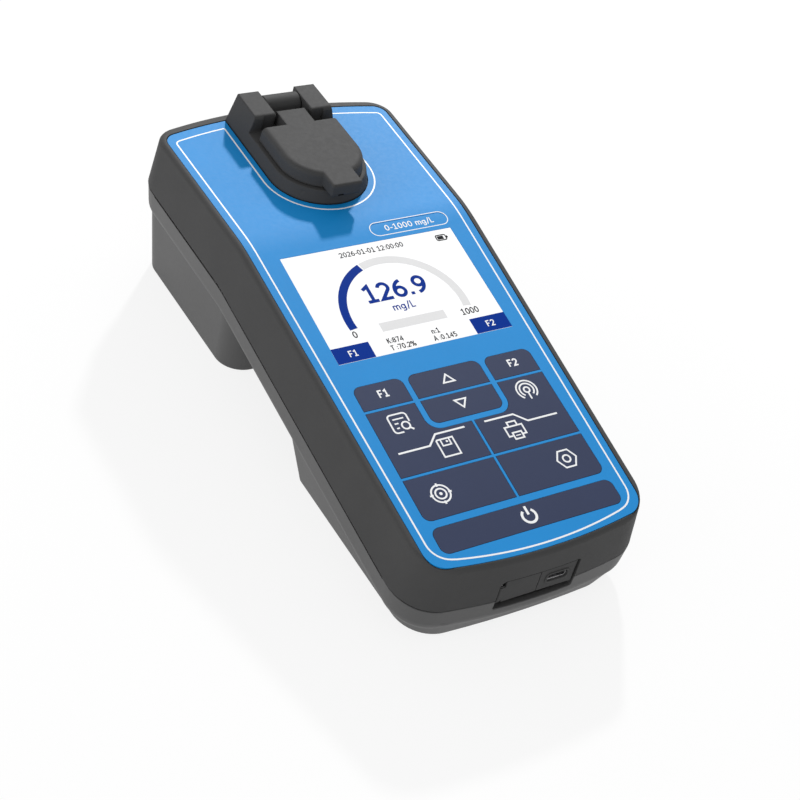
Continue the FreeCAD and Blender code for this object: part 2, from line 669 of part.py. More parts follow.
def make_lower_case():
    low_depth = PART_DEPTH + PART_GAP
    belly = round_edges_at(lower_block(0, low_depth, BELLY_DEPTH), BELLY_DEPTH, BELLY_ROUND)
    deep_top = bent_slab(low_depth + 2, REACH)
    inside = lower_block(0.01, low_depth, CASE_Z + 20)
    outer = belly.multiFuse([cell_box(0, BASE_Z, CASE_Z - 20).common(deep_top).common(inside),
                             foot(0, BASE_Z, 32).common(deep_top).common(inside)])
    hollow = lower_block(WALL, low_depth - 1, BELLY_DEPTH - WALL)
    hollow = hollow.multiFuse([cell_box(WALL, BASE_Z + WALL, CASE_Z - 20).common(deep_top).common(inside),
                               foot(WALL, BASE_Z + FOOT_FLOOR, 32).common(deep_top).common(inside)])
    hollow = hollow.common(lower_block(WALL, low_depth - 1, CASE_Z + 20))
    shell = outer.cut(hollow)
    bosses = []
    cuts = []
    for place in CASE_SCREWS:
        x, y, kind = place
        part_z = surface_z(y, low_depth)
        seat = screw_seat_z(place)
        boss = tube_z(x, y, seat - 3.0, part_z + 3, BOSS_R)
        tower = tube_z(x, y, BASE_Z, part_z + 3, SCREW_HEAD_R + 1.6) if kind != "belly" else boss
        bosses.append(tower.common(lower_block(1.0, low_depth, CASE_Z + 20)).common(outer))
        cuts.append(tube_z(x, y, seat, part_z + 4, SCREW_R + 0.2))
        cuts.append(tube_z(x, y, -1, seat, SCREW_HEAD_R + 0.3))
    shell = shell.fuse(bosses)
    # Seat of the battery door in the underside of the foot, and the way in behind it
    door = block(-DOOR_HALF - DOOR_GAP, DOOR_HALF + DOOR_GAP, DOOR_FRONT_Y - DOOR_GAP, DOOR_REAR_Y + DOOR_GAP,
                 -1, BASE_Z + DOOR_T)
    bay = block(-DOOR_HALF + DOOR_LEDGE, DOOR_HALF - DOOR_LEDGE, DOOR_FRONT_Y + DOOR_END_LEDGE,
                DOOR_REAR_Y - DOOR_END_LEDGE, -1, BASE_Z + FOOT_FLOOR + 1)
    cuts += [door, bay, port_recess()]
    for x, y in PADS:
        cuts.append(tube_z(x, y, -1, BASE_Z + PAD_SEAT, PAD_R + PAD_GAP))
    for x, y in door_screw_places:
        cuts.append(tube_z(x, y, -1, BASE_Z + FOOT_FLOOR + 1, SMALL_SCREW_R))
    return shell.cut(cuts)


# Two collar screws beside the well, outside its holder, and two behind the hinge
collar_screw_out = (HOLDER_R + SMALL_HEAD_R + 2 * HOLDER_GAP) * math.sin(math.radians(45))
collar_screw_places = [(s * x, y) for s in (-1, 1) for x, y in (
    (collar_screw_out, WELL_Y - collar_screw_out), (HINGE_SCREW_X, HINGE_SCREW_Y))]
door_screw_places = [(x, y) for x in (-DOOR_HALF + DOOR_SCREW_IN, DOOR_HALF - DOOR_SCREW_IN)
                     for y in (DOOR_FRONT_Y + DOOR_SCREW_IN, DOOR_REAR_Y - DOOR_SCREW_IN)]

os.makedirs("parts", exist_ok=True)
upper_case = make_upper_case()
lower_case = make_lower_case()
save(upper_case, "upper_case")
save(lower_case, "lower_case")

# Gasket in the seam, dark from outside
seal_outer = lower_block(0.9, PART_DEPTH, PART_DEPTH + PART_GAP)
seal_inner = lower_block(2.0, PART_DEPTH - 1, PART_DEPTH + PART_GAP + 1)
save(seal_outer.cut([seal_inner, port_recess()]), "case_gasket")

# Overlay with its window and a hole for each key
overlay = overlay_sheet(0, OVERLAY_SUNK, OVERLAY_SUNK + OVERLAY_T)
window = block(-DISPLAY_W / 2, DISPLAY_W / 2, -DISPLAY_H / 2, DISPLAY_H / 2, -CUT, CUT)
collar_room = d_prism(COLLAR_HALF + OVERLAY_GAP, COLLAR_REAR_Y + CUT, CASE_Z - CUT, CASE_Z + CUT)
overlay = overlay.cut([tilt(window), collar_room]
                      + [tilt(hole) for hole in key_shapes(KEY_CLEAR, -CUT, 2 * CUT).values()])
save(overlay, "front_overlay")

# Display lens with a raised face that fills the window, and the display module behind it
lens_low = -(OVERLAY_SUNK + OVERLAY_T + LENS_T)
window_x = DISPLAY_W / 2 - LENS_CLEAR
window_v = DISPLAY_H / 2 - LENS_CLEAR
lens = block(-window_x - LENS_LIP, window_x + LENS_LIP, -window_v - LENS_LIP, window_v + LENS_LIP,
             lens_low, lens_low + LENS_T)
face = block(-window_x, window_x, -window_v, window_v, lens_low, -OVERLAY_SUNK - LENS_SUNK)
save(tilt(lens.fuse(face).removeSplitter()), "display_window")
module_x = DISPLAY_W / 2 + MODULE_EDGE
module_v = DISPLAY_H / 2 + MODULE_EDGE
module = block(-module_x, module_x, -module_v, module_v, -WALL - MODULE_T, -WALL)
glass_x = window_x - LENS_CLEAR
glass_v = window_v - LENS_CLEAR
pillow = block(-glass_x, glass_x, -glass_v, glass_v, -WALL, lens_low)
save(tilt(module.fuse(pillow).removeSplitter()), "display_module")

# Keys: a pad flush with the overlay and a plunger over its dome
for name, pad in key_shapes(0, key_low, KEY_T).items():
    x, v = plunger_at[name]
    plunger = Part.makeCylinder(PLUNGER_R, key_low - plunger_low, V(x, v, plunger_low), V(0, 0, 1))
    save(tilt(pad.fuse(plunger).removeSplitter()), name)

# Key board with its domes
board_x = RIM_HALF - KEY_BOARD_IN
key_board = block(-board_x, board_x, power_low - KEY_HOLE_EDGE - KEY_BOARD_LOW_EDGE,
                  KEY_TOP + KEY_HOLE_EDGE + KEY_BOARD_EDGE, key_board_top - BOARD_T, key_board_top)
roof_inside = upper_block(WALL + 0.3, WALL, PART_DEPTH)
boss_room = [tube_z(x, y, 0, CASE_Z, BOSS_R + BOSS_GAP) for x, y, _ in CASE_SCREWS]
save(tilt(key_board).common(roof_inside).cut(boss_room), "key_board")
save(Part.makeCompound([tilt(Part.makeCone(DOME_R, DOME_TOP_R, DOME_H, V(x, v, key_board_top), V(0, 0, 1)))
                        for x, v in plunger_at.values()]), "key_domes")

# Main board under the display, on spacers
board_low = -MAIN_BOARD_DEPTH - BOARD_T
main_board = block(-MAIN_BOARD_HALF, MAIN_BOARD_HALF, MAIN_BOARD_LOW, MAIN_BOARD_TOP,
                   board_low, -MAIN_BOARD_DEPTH)
save(tilt(main_board), "main_board")
spacers = []
for x in (-SPACER_X, SPACER_X):
    for v, top in ((SPACER_V, -WALL - MODULE_T), (-SPACER_V, -WALL - MODULE_T),
                   (SPACER_LOW_V, key_board_top - BOARD_T)):
        spacers.append(tilt(tube_z(x, v, -MAIN_BOARD_DEPTH, top, SPACER_R)))
save(Part.makeCompound(spacers), "board_spacers")
save(Part.makeCompound([tilt(block(x - w / 2, x + w / 2, v - h / 2, v + h / 2, board_low - t, board_low))
                        for x, v, w, h, t in CHIPS]), "board_chips")
for node, (x, v, radius, thick) in (("clock_battery", CLOCK_CELL), ("buzzer", BUZZER)):
    save(tilt(tube_z(x, v, board_low - thick, board_low, radius)), node)

# Sample well: a round holder that stands on the floor of the cell box
holder_low = BASE_Z + WALL
holder = tube_z(0, WELL_Y, holder_low, CASE_Z, HOLDER_R)
flange = tube_z(0, WELL_Y, holder_low, holder_low + HOLDER_FLANGE_T, HOLDER_FLANGE_R)
well = tube_z(0, WELL_Y, WELL_FLOOR_Z, CASE_Z + 1, WELL_R)
lead_in = Part.makeCone(WELL_R, HOLDER_MOUTH_R, HOLDER_LEAD_IN, V(0, WELL_Y, CASE_Z - HOLDER_LEAD_IN))
light_ports = [rod_x(-HOLDER_R - 1, HOLDER_R + 1, WELL_Y, LIGHT_Z, LIGHT_R),
               rod_y(0, WELL_Y, WELL_Y + HOLDER_R + 1, LIGHT_Z, LIGHT_R)]
save(holder.fuse(flange).cut([well, lead_in] + light_ports), "cell_holder")
pane_in = WELL_R + PANE_SUNK
body_in = pane_in + PANE_T
body_out = HOLDER_R + LAMP_REACH
save(Part.makeCompound([rod_x(-body_in, -pane_in, WELL_Y, LIGHT_Z, LIGHT_R),
                        rod_x(pane_in, body_in, WELL_Y, LIGHT_Z, LIGHT_R),
                        rod_y(0, WELL_Y + pane_in, WELL_Y + body_in, LIGHT_Z, LIGHT_R)]), "well_windows")
save(rod_x(-body_out, -body_in, WELL_Y, LIGHT_Z, LIGHT_R), "light_source")
save(rod_x(body_in, body_out, WELL_Y, LIGHT_Z, LIGHT_R), "through_detector")
save(rod_y(0, WELL_Y + body_in, WELL_Y + body_out, LIGHT_Z, LIGHT_R), "side_detector")
for node, x in (("source_board", -body_out - BOARD_T), ("detector_board", body_out)):
    save(block(x, x + BOARD_T, WELL_Y - SIDE_BOARD_HALF, WELL_Y + SIDE_BOARD_HALF,
               holder_low + HOLDER_FLANGE_T, LIGHT_Z + SIDE_BOARD_ABOVE), node)


def make_collar():
    """D collar whose drafted sides run up into the two hinge ears."""
    top_half = COLLAR_HALF - EAR_TOP * COLLAR_DRAFT
    full = Part.makeLoft([collar_outline(CASE_Z + EAR_TOP, top_half, COLLAR_REAR_Y - EAR_REAR_LEAN),
                          collar_outline(CASE_Z, COLLAR_HALF, COLLAR_REAR_Y)], True, True)
    far = COLLAR_REAR_Y + CUT
    over = CASE_Z + EAR_TOP + CUT
    above = block(-REACH, REACH, 0, EAR_FRONT_Y, CASE_Z + COLLAR_H, over)
    between = block(-EAR_INNER, EAR_INNER, PIN_Y - BARREL_R - BARREL_ROOM, far,
                    CASE_Z + PIN_Z - BARREL_R - BARREL_LOW_ROOM, over)
    tongue_way = block(-EAR_INNER, EAR_INNER, EAR_FRONT_Y - 1, far, CASE_Z + COLLAR_H, over)
    collar = full.cut([above, between, tongue_way])
    roof = [e for e in collar.Edges if e.Vertexes[0].Point.z > CASE_Z + EAR_TOP - 0.01
            and e.Vertexes[-1].Point.z > CASE_Z + EAR_TOP - 0.01]
    front = [e for e in roof if max(v.Point.y for v in e.Vertexes) < EAR_FRONT_Y + 0.1]
    collar = collar.makeFillet(EAR_ROUND, front)
    bore = tube_z(0, WELL_Y, CASE_Z - 1, CASE_Z + COLLAR_H + 1, COLLAR_BORE_R)
    pin = rod_x(-PIN_HALF, PIN_HALF, PIN_Y, CASE_Z + PIN_Z, PIN_R)
    hole_top = CASE_Z + SMALL_SCREW_BITE + SCREW_TIP
    holes = [tube_z(x, y, CASE_Z - 1, hole_top, SMALL_SCREW_R) for x, y in collar_screw_places]
    steps = [block(x0, x0 + EAR_STEP_WIDE, EAR_FRONT_Y - 1, EAR_FRONT_Y + EAR_STEP, CASE_Z + COLLAR_H, over)
             for x0 in (EAR_INNER, -EAR_INNER - EAR_STEP_WIDE)]
    return collar.cut([bore, pin] + holes + steps)


save(make_collar(), "lid_collar")
save(rod_x(-PIN_HALF, PIN_HALF, PIN_Y, CASE_Z + PIN_Z, PIN_R), "hinge_pin")


def make_lid():
    low_z = CASE_Z + COLLAR_H + LID_REST
    top_z = CASE_Z + LID_TOP
    top_half = LID_HALF - (top_z - low_z) * LID_DRAFT
    plate = Part.makeLoft([collar_outline(top_z, top_half, LID_REAR_Y),
                           collar_outline(low_z, LID_HALF, LID_REAR_Y)], True, True)
    rim = [e for e in plate.Edges if min(v.Point.z for v in e.Vertexes) > top_z - 0.01
           and min(v.Point.y for v in e.Vertexes) < LID_REAR_Y - 0.1]
    plate = plate.makeFillet(LID_ROUND, rim)
    tab = block(-TAB_HALF, TAB_HALF, TAB_FRONT_Y, WELL_Y, low_z + 0.6, top_z)
    tab_top = [e for e in tab.Edges if min(v.Point.z for v in e.Vertexes) > top_z - 0.01
               and max(v.Point.y for v in e.Vertexes) < WELL_Y - 0.1]
    tab_top += [e for e in upright_edges(tab) if e.Vertexes[0].Point.y < TAB_FRONT_Y + 0.1]
    tab_side = [e for e in tab.Edges if min(v.Point.z for v in e.Vertexes) > top_z - 0.01
                and abs(e.Vertexes[0].Point.x - e.Vertexes[-1].Point.x) < 0.01]
    tab = tab.makeFillet(TAB_ROUND, tab_top + tab_side)
    tongue = block(-TONGUE_HALF, TONGUE_HALF, WELL_Y, TONGUE_REAR_Y, low_z, top_z)
    barrel = rod_x(-EAR_INNER + BARREL_SIDE, EAR_INNER - BARREL_SIDE, PIN_Y, CASE_Z + PIN_Z, BARREL_R)
    web = block(-TONGUE_HALF, TONGUE_HALF, TONGUE_REAR_Y - 1, PIN_Y - 2, low_z, CASE_Z + WEB_TOP)
    lid = plate.multiFuse([tab, tongue, barrel, web]).removeSplitter()
    hollow = d_prism(LID_HALF - LID_WALL - 0.8, LID_REAR_Y - LID_WALL, low_z - 1, top_z - LID_WALL)
    bore = rod_x(-20, 20, PIN_Y, CASE_Z + PIN_Z, PIN_R + PIN_CLEAR)
    return lid.cut([hollow, bore])


save(make_lid(), "sample_lid")
seal_top = CASE_Z + LID_TOP - LID_WALL
save(tube_z(0, WELL_Y, seal_top - SEAL_T, seal_top, COLLAR_BORE_R - SEAL_IN), "lid_seal")


def screw(x, y, seat_z, length, radius, head_r, head_h):
    """Pan head screw driven upward, with a cross slot in its head."""
    shank = tube_z(x, y, seat_z, seat_z + length, radius)
    head = tube_z(x, y, seat_z - head_h, seat_z, head_r)
    w = radius * 0.3
    r = head_r * 0.6
    slots = [block(x - r, x + r, y - w, y + w, seat_z - head_h - 1, seat_z - head_h * 0.5),
             block(x - w, x + w, y - r, y + r, seat_z - head_h - 1, seat_z - head_h * 0.5)]
    return head.fuse(shank).cut(slots).removeSplitter()


case_screws = [screw(p[0], p[1], screw_seat_z(p), surface_z(p[1], PART_DEPTH) + SCREW_BITE - screw_seat_z(p),
                     SCREW_R, SCREW_HEAD_R, SCREW_HEAD_H) for p in CASE_SCREWS]
save(Part.makeCompound(case_screws), "case_screws")
save(Part.makeCompound([screw(x, y, CASE_Z - WALL, WALL + SMALL_SCREW_BITE, SMALL_SCREW_R, SMALL_HEAD_R,
                              SMALL_HEAD_H) for x, y in collar_screw_places]), "collar_screws")

# Battery bay: door, its screws, cells and contacts
door = block(-DOOR_HALF, DOOR_HALF, DOOR_FRONT_Y, DOOR_REAR_Y, BASE_Z, BASE_Z + DOOR_T)
door = door.makeFillet(DOOR_CORNER, upright_edges(door))
head_low = BASE_Z + HEAD_SUNK
for x, y in door_screw_places:
    door = door.cut([tube_z(x, y, BASE_Z - 1, head_low + SMALL_HEAD_H, SMALL_HEAD_R + HEAD_CLEAR),
                     tube_z(x, y, BASE_Z - 1, BASE_Z + DOOR_T + 1, SMALL_SCREW_R + SCREW_CLEAR)])
save(door, "battery_door")
door_bite = FOOT_FLOOR - SMALL_HEAD_H - HEAD_SUNK
save(Part.makeCompound([screw(x, y, head_low + SMALL_HEAD_H, door_bite, SMALL_SCREW_R,
                              SMALL_HEAD_R, SMALL_HEAD_H) for x, y in door_screw_places]), "door_screws")
cell_z = BASE_Z + FOOT_FLOOR + BATTERY_R
cell_y0 = BATTERY_Y - BATTERY_LEN / 2
cell_y1 = BATTERY_Y + BATTERY_LEN / 2
save(Part.makeCompound([rod_y(s * (BATTERY_R + 0.3), cell_y0, cell_y1, cell_z, BATTERY_R) for s in (-1, 1)]),
     "battery_cells")
contact_top = cell_z + BATTERY_R * 0.6
save(Part.makeCompound([block(-2 * BATTERY_R, 2 * BATTERY_R, y0, y0 + 0.6, BASE_Z + FOOT_FLOOR, contact_top)
                        for y0 in (cell_y0 - 0.7, cell_y1 + 0.1)]), "battery_contacts")
save(Part.makeCompound([tube_z(x, y, 0, BASE_Z + PAD_SEAT, PAD_R) for x, y in PADS]), "foot_pads")

# Ports: frame behind the recess, socket plate, cover flap on its pin, socket and charging jack
port_floor_y = -half_length + PORT_FLOOR
frame_y1 = port_floor_y + PORT_FRAME_T
port_frame = block(-PORT_HALF - PORT_FRAME_EDGE, PORT_HALF + PORT_FRAME_EDGE, port_floor_y, frame_y1,
                   port_low_z - PORT_FRAME_EDGE, port_top_z + PORT_FRAME_EDGE)
piece_y0 = port_floor_y - PORT_PIECE_T
pin_x = -PORT_HALF + FLAP_SIDE + PORT_PIECE_T / 2
pin_y = port_floor_y - PORT_PIECE_T / 2 - 0.1
flap_low = port_low_z + PORT_LOW_GAP
flap_top = port_top_z - PORT_TOP_GAP
barrel_low = flap_low + FLAP_BARREL_LOW
barrel_top = flap_top - FLAP_BARREL_TOP
lugs = [block(pin_x - LUG_HALF, pin_x + LUG_HALF, piece_y0 + 0.1, frame_y1, z, z + LUG_T)
        for z in (barrel_low - LUG_T - 0.1, barrel_top + 0.1)]


def edges_along_y(solid):
    return [e for e in solid.Edges if abs(e.tangentAt(e.FirstParameter).y) > 0.99]


def socket_block(grow, y0, y1, corner):
    """Rounded block round the middle of the data socket, larger all round by grow."""
    solid = block(SOCKET_X - SOCKET_W / 2 - grow, SOCKET_X + SOCKET_W / 2 + grow, y0, y1,
                  socket_z - SOCKET_H / 2 - grow, socket_z + SOCKET_H / 2 + grow)
    return solid.makeFillet(corner, edges_along_y(solid))


socket_hole = socket_block(0, -half_length - 5, frame_y1 + 1, SOCKET_CORNER)
flap_pin = tube_z(pin_x, pin_y, barrel_low - LUG_T - 0.1, barrel_top + LUG_T + 0.1, FLAP_PIN_R)
jack_hole = rod_y(JACK_X, -half_length - 5, frame_y1 + 1, socket_z, JACK_R)
port_frame = port_frame.multiFuse(lugs).cut([socket_hole, jack_hole, flap_pin]).removeSplitter()
save(port_frame, "port_frame")
save(flap_pin, "flap_pin")
port_plate = block(PORT_SPLIT_X + PORT_SPLIT_GAP / 2, PORT_HALF - PORT_RIM_GAP, piece_y0, port_floor_y,
                   flap_low, flap_top)
socket_rim = socket_block(SOCKET_RIM, piece_y0 - SOCKET_RIM_T, port_floor_y, SOCKET_CORNER + SOCKET_RIM)
save(port_plate.fuse(socket_rim).cut(socket_hole).cut(port_frame).removeSplitter(), "port_plate")
flap = block(pin_x, PORT_SPLIT_X - PORT_SPLIT_GAP / 2, piece_y0, port_floor_y - 0.2, flap_low, flap_top)
corners = [block(pin_x - 3, pin_x + FLAP_CORNER, piece_y0 - 1, port_floor_y + 1, z0, z1)
           for z0, z1 in ((barrel_top, flap_top + 1), (flap_low - 1, barrel_low))]
flap = flap.cut(corners).fuse(tube_z(pin_x, pin_y, barrel_low, barrel_top, PORT_PIECE_T / 2))
save(flap.cut(tube_z(pin_x, pin_y, 0, CASE_Z, FLAP_PIN_R + PIN_CLEAR)).removeSplitter(), "port_flap")
socket_back = -half_length + WALL + SOCKET_DEEP
socket_outside = socket_block(-SOCKET_CLEAR, piece_y0 + SOCKET_SUNK, socket_back,
                              SOCKET_CORNER - SOCKET_CLEAR)
inner_x = SOCKET_W / 2 - SOCKET_CLEAR - SOCKET_WALL
inner_z = SOCKET_H / 2 - SOCKET_CLEAR - SOCKET_WALL
socket_inside = block(SOCKET_X - inner_x, SOCKET_X + inner_x, piece_y0 - 1, socket_back - 1,
                      socket_z - inner_z, socket_z + inner_z)
blade = block(SOCKET_X - BLADE_HALF, SOCKET_X + BLADE_HALF, piece_y0 + 1.2, socket_back - 0.5,
              socket_z - BLADE_T / 2, socket_z + BLADE_T / 2)
save(socket_outside.cut(socket_inside).fuse(blade).removeSplitter(), "data_socket")
jack = rod_y(JACK_X, port_floor_y + 0.05, socket_back, socket_z, JACK_R - 0.05)
jack = jack.cut(rod_y(JACK_X, port_floor_y - 1, socket_back - 2, socket_z, JACK_BORE_R))
core = rod_y(JACK_X, port_floor_y + 1, socket_back, socket_z, JACK_CORE_R)
save(jack.fuse(core).removeSplitter(), "charging_jack")
save(block(-PORT_BOARD_HALF, PORT_BOARD_HALF, frame_y1, socket_back, socket_z - JACK_R - BOARD_T,
           socket_z - JACK_R), "port_board")
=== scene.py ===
# %% [markdown]
# This lesson dresses a portable suspended solids meter. The solid model arrives as a fixed
# frame: every shell, key and hinge already has its true size and place, in metres.
# Blender adds what a mould maker leaves to the finisher and the printer: grain, gloss and ink.

# %% Load the frame
import bmesh
import bpy
import math
from mathutils import Matrix, Vector


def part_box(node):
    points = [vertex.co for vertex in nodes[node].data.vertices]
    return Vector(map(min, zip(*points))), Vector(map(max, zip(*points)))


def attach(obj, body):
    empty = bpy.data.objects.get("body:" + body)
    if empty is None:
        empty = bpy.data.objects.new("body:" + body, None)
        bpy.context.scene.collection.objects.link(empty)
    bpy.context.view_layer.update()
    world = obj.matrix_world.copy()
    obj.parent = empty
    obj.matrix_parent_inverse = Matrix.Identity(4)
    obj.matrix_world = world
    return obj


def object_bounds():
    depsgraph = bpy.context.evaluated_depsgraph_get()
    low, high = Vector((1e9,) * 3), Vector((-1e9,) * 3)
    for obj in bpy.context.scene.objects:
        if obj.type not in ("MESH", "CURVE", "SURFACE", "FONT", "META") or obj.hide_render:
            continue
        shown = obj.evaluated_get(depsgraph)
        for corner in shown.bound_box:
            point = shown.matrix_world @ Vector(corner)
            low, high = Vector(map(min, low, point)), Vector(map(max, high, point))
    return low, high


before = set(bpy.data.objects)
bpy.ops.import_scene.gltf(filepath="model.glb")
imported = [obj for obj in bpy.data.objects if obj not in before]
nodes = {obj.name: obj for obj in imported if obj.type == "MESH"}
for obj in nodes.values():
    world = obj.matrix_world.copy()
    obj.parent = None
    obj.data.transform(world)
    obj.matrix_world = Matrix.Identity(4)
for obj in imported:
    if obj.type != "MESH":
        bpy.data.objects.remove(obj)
cad_box = [list(corner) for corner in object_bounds()]
print("nodes:", len(nodes), "box:", [[round(v, 4) for v in corner] for corner in cad_box])

# %% [markdown]
# The photograph was taken from the front left, from a little under half way up, with a long
# lens that keeps the display nearly square. A Track To constraint could aim the camera, but it
# keeps the horizon level, and this picture is rolled by 15 degrees. So the camera is turned
# about the vertical first, then tilted up from looking straight down, and rolled last.

# %% Place the camera
MM = 0.001
LENS, SENSOR = 74.385, 36.0
NEAREST, FARTHEST = 0.01, 20.0
CAMERA_TURN, CAMERA_TILT, CAMERA_ROLL = -39.6325, 48.2914, 15.2297
scene = bpy.context.scene
camera_data = bpy.data.cameras.new("studio_camera")
camera_data.lens = LENS
camera_data.sensor_width = SENSOR
camera_data.clip_start = NEAREST
camera_data.clip_end = FARTHEST
camera = bpy.data.objects.new("studio_camera", camera_data)
scene.collection.objects.link(camera)
camera_place = Vector((-292.59, -370.56, 426.26)) * MM
stand = Matrix.Translation(camera_place)
for angle, axis in ((CAMERA_TURN, "Z"), (CAMERA_TILT, "X"), (CAMERA_ROLL, "Z")):
    stand = stand @ Matrix.Rotation(math.radians(angle), 4, axis)
camera.matrix_world = stand
scene.camera = camera
print("camera stands", round(camera_place.length, 3), "m from the origin")

# %% [markdown]
# Two small tools serve the whole lesson: an empty node material, and a mesh object made from
# plain lists of points and faces. The Standard view transform shows a colour as it is written,
# where the default one would bend bright colours as film does.

# %% Materials and meshes from scratch
scene.view_settings.view_transform = "Standard"


def new_material(name):
    """An empty node material with its output, as a pair."""
    material = bpy.data.materials.new(name)
    material.use_nodes = True
    material.node_tree.nodes.clear()
    output = material.node_tree.nodes.new("ShaderNodeOutputMaterial")
    return material, output


def mesh_object(name, vertices, faces):
    """A mesh object from plain lists, linked to the scene."""
    mesh = bpy.data.meshes.new(name)
    mesh.from_pydata([tuple(v) for v in vertices], [], faces)
    mesh.update()
    made = bpy.data.objects.new(name, mesh)
    scene.collection.objects.link(made)
    return made


print("view transform:", scene.view_settings.view_transform)

# %% [markdown]
# Product shots stand on a white sweep. Here a wide sheet of paper is the floor. Where the camera
# looks at it, straight or in a reflection, it is mixed towards plain white, and the share that
# stays real paper still takes a soft shadow.

# %% Lay the paper floor
def seen_directly(tree, share):
    """A factor of that share for rays from the camera, from gloss and through glass, else none."""
    path = tree.nodes.new("ShaderNodeLightPath")
    factor = path.outputs["Is Camera Ray"]
    for kind in ("Is Glossy Ray", "Is Transmission Ray"):
        larger = tree.nodes.new("ShaderNodeMath")
        larger.operation = "MAXIMUM"
        tree.links.new(factor, larger.inputs[0])
        tree.links.new(path.outputs[kind], larger.inputs[1])
        factor = larger.outputs[0]
    scale = tree.nodes.new("ShaderNodeMath")
    scale.operation = "MULTIPLY"
    scale.inputs[1].default_value = share
    tree.links.new(factor, scale.inputs[0])
    return scale.outputs[0]


def mixed(tree, factor, first, second):
    """Two shaders mixed by a factor."""
    mix = tree.nodes.new("ShaderNodeMixShader")
    tree.links.new(factor, mix.inputs["Fac"])
    tree.links.new(first.outputs[0], mix.inputs[1])
    tree.links.new(second.outputs[0], mix.inputs[2])
    return mix.outputs[0]


FLOOR_HALF = 3.0
WHITE_SHARE = 0.84
PAPER = (0.90, 0.90, 0.90, 1)
WHITE = (1, 1, 1, 1)
FULL_WHITE = 1.0
corners = [(x * FLOOR_HALF, y * FLOOR_HALF, 0) for x, y in ((-1, -1), (1, -1), (1, 1), (-1, 1))]
floor = mesh_object("paper_floor", corners, [(0, 1, 2, 3)])
paper, paper_out = new_material("white_paper")
tree = paper.node_tree
sheet = tree.nodes.new("ShaderNodeBsdfDiffuse")
sheet.inputs["Color"].default_value = PAPER
glow = tree.nodes.new("ShaderNodeEmission")
glow.inputs["Color"].default_value = WHITE
glow.inputs["Strength"].default_value = FULL_WHITE
tree.links.new(mixed(tree, seen_directly(tree, WHITE_SHARE), sheet, glow), paper_out.inputs["Surface"])
floor.data.materials.append(paper)
print("the floor is", 2 * FLOOR_HALF, "m wide")

# %% [markdown]
# The world lights the meter evenly from all around, as the walls of a white room do. Where the
# camera or a reflection looks past the paper, the same mix shows it full white instead.

# %% Fill the room with light
ROOM_LIGHT = 0.62
world = bpy.data.worlds.new("studio_world")
scene.world = world
world.use_nodes = True
sky = world.node_tree
sky.nodes.clear()
sky_out = sky.nodes.new("ShaderNodeOutputWorld")
room = sky.nodes.new("ShaderNodeBackground")
room.inputs["Strength"].default_value = ROOM_LIGHT
backdrop = sky.nodes.new("ShaderNodeBackground")
backdrop.inputs["Strength"].default_value = FULL_WHITE
for background in (room, backdrop):
    background.inputs["Color"].default_value = WHITE
sky.links.new(mixed(sky, seen_directly(sky, 1.0), room, backdrop), sky_out.inputs["Surface"])
print("room light", ROOM_LIGHT)

# %% [markdown]
# The shadow of the hinge ears gives the main lamp away: it falls to the front left, so the lamp
# stands behind on the right, about 34 degrees up. One small soft box there makes the crisp
# shadow and the pale sheen on the rear face. Two wide dim boxes, low on the left and in front,
# fill the near sides: the left one is the brighter, as the long side wall is in the photograph.

# %% Hang three soft boxes
AIM = Vector((0, 0, 0.04))
LAMP_DISTANCE = 1.6
SMALL_BOX = 0.09
WIDE_BOX = 1.2


def soft_box(name, azimuth, elevation, size, power):
    """A square area lamp that looks at the meter; azimuth from +X towards +Y, in degrees."""
    a, e = math.radians(azimuth), math.radians(elevation)
    way = Vector((math.cos(e) * math.cos(a), math.cos(e) * math.sin(a), math.sin(e)))
    place = way * LAMP_DISTANCE
    lamp_data = bpy.data.lights.new(name, "AREA")
    lamp_data.size = size
    lamp_data.energy = power
    lamp = bpy.data.objects.new(name, lamp_data)
    scene.collection.objects.link(lamp)
    facing = (AIM - place).to_track_quat("-Z", "Y").to_matrix().to_4x4()
    lamp.matrix_world = Matrix.Translation(place) @ facing
    return lamp


lamps = [
    soft_box("key_lamp", azimuth=55.6, elevation=34, size=SMALL_BOX, power=20.0),
    soft_box("left_lamp", azimuth=178, elevation=8, size=WIDE_BOX, power=13.0),
    soft_box("front_lamp", azimuth=262, elevation=8, size=WIDE_BOX, power=1.6),
]
print("lamps:", [(lamp.name, lamp.data.energy) for lamp in lamps])

# %% [markdown]
# Moulded plastic is never one flat colour. A spark-eroded mould leaves a fine grain, far too
# small for geometry, so a noise texture feeds a bump, and slower noises move the tone and the
# gloss by a few percent. Where a finish asks for it, a bevel node rounds the corners by up to a
# millimetre for the light alone: the mesh stays, and an edge catches a highlight as a real one.

# %% Noise and what it drives
TONE_LOW = 0.3
TONE_HIGH = 0.7


def noise(tree, place, scale, detail):
    """The factor of a noise texture at that place on the object."""
    texture = tree.nodes.new("ShaderNodeTexNoise")
    texture.inputs["Scale"].default_value = scale
    texture.inputs["Detail"].default_value = detail
    tree.links.new(place, texture.inputs["Vector"])
    return texture.outputs["Fac"]


def spread(tree, source, low, high):
    """Maps a noise to a narrow range."""
    mapper = tree.nodes.new("ShaderNodeMapRange")
    limits = {"From Min": TONE_LOW, "From Max": TONE_HIGH, "To Min": low, "To Max": high}
    for name, value in limits.items():
        mapper.inputs[name].default_value = value
    tree.links.new(source, mapper.inputs["Value"])
    return mapper.outputs["Result"]


def two_tones(tree, factor, first, second):
    """A colour that goes from the first to the second with the factor."""
    mix = tree.nodes.new("ShaderNodeMix")
    mix.data_type = "RGBA"
    mix.inputs["A"].default_value = tuple(first) + (1,)
    mix.inputs["B"].default_value = tuple(second) + (1,)
    tree.links.new(factor, mix.inputs["Factor"])
    return mix.outputs["Result"]


print("noise range in use:", TONE_LOW, "to", TONE_HIGH)

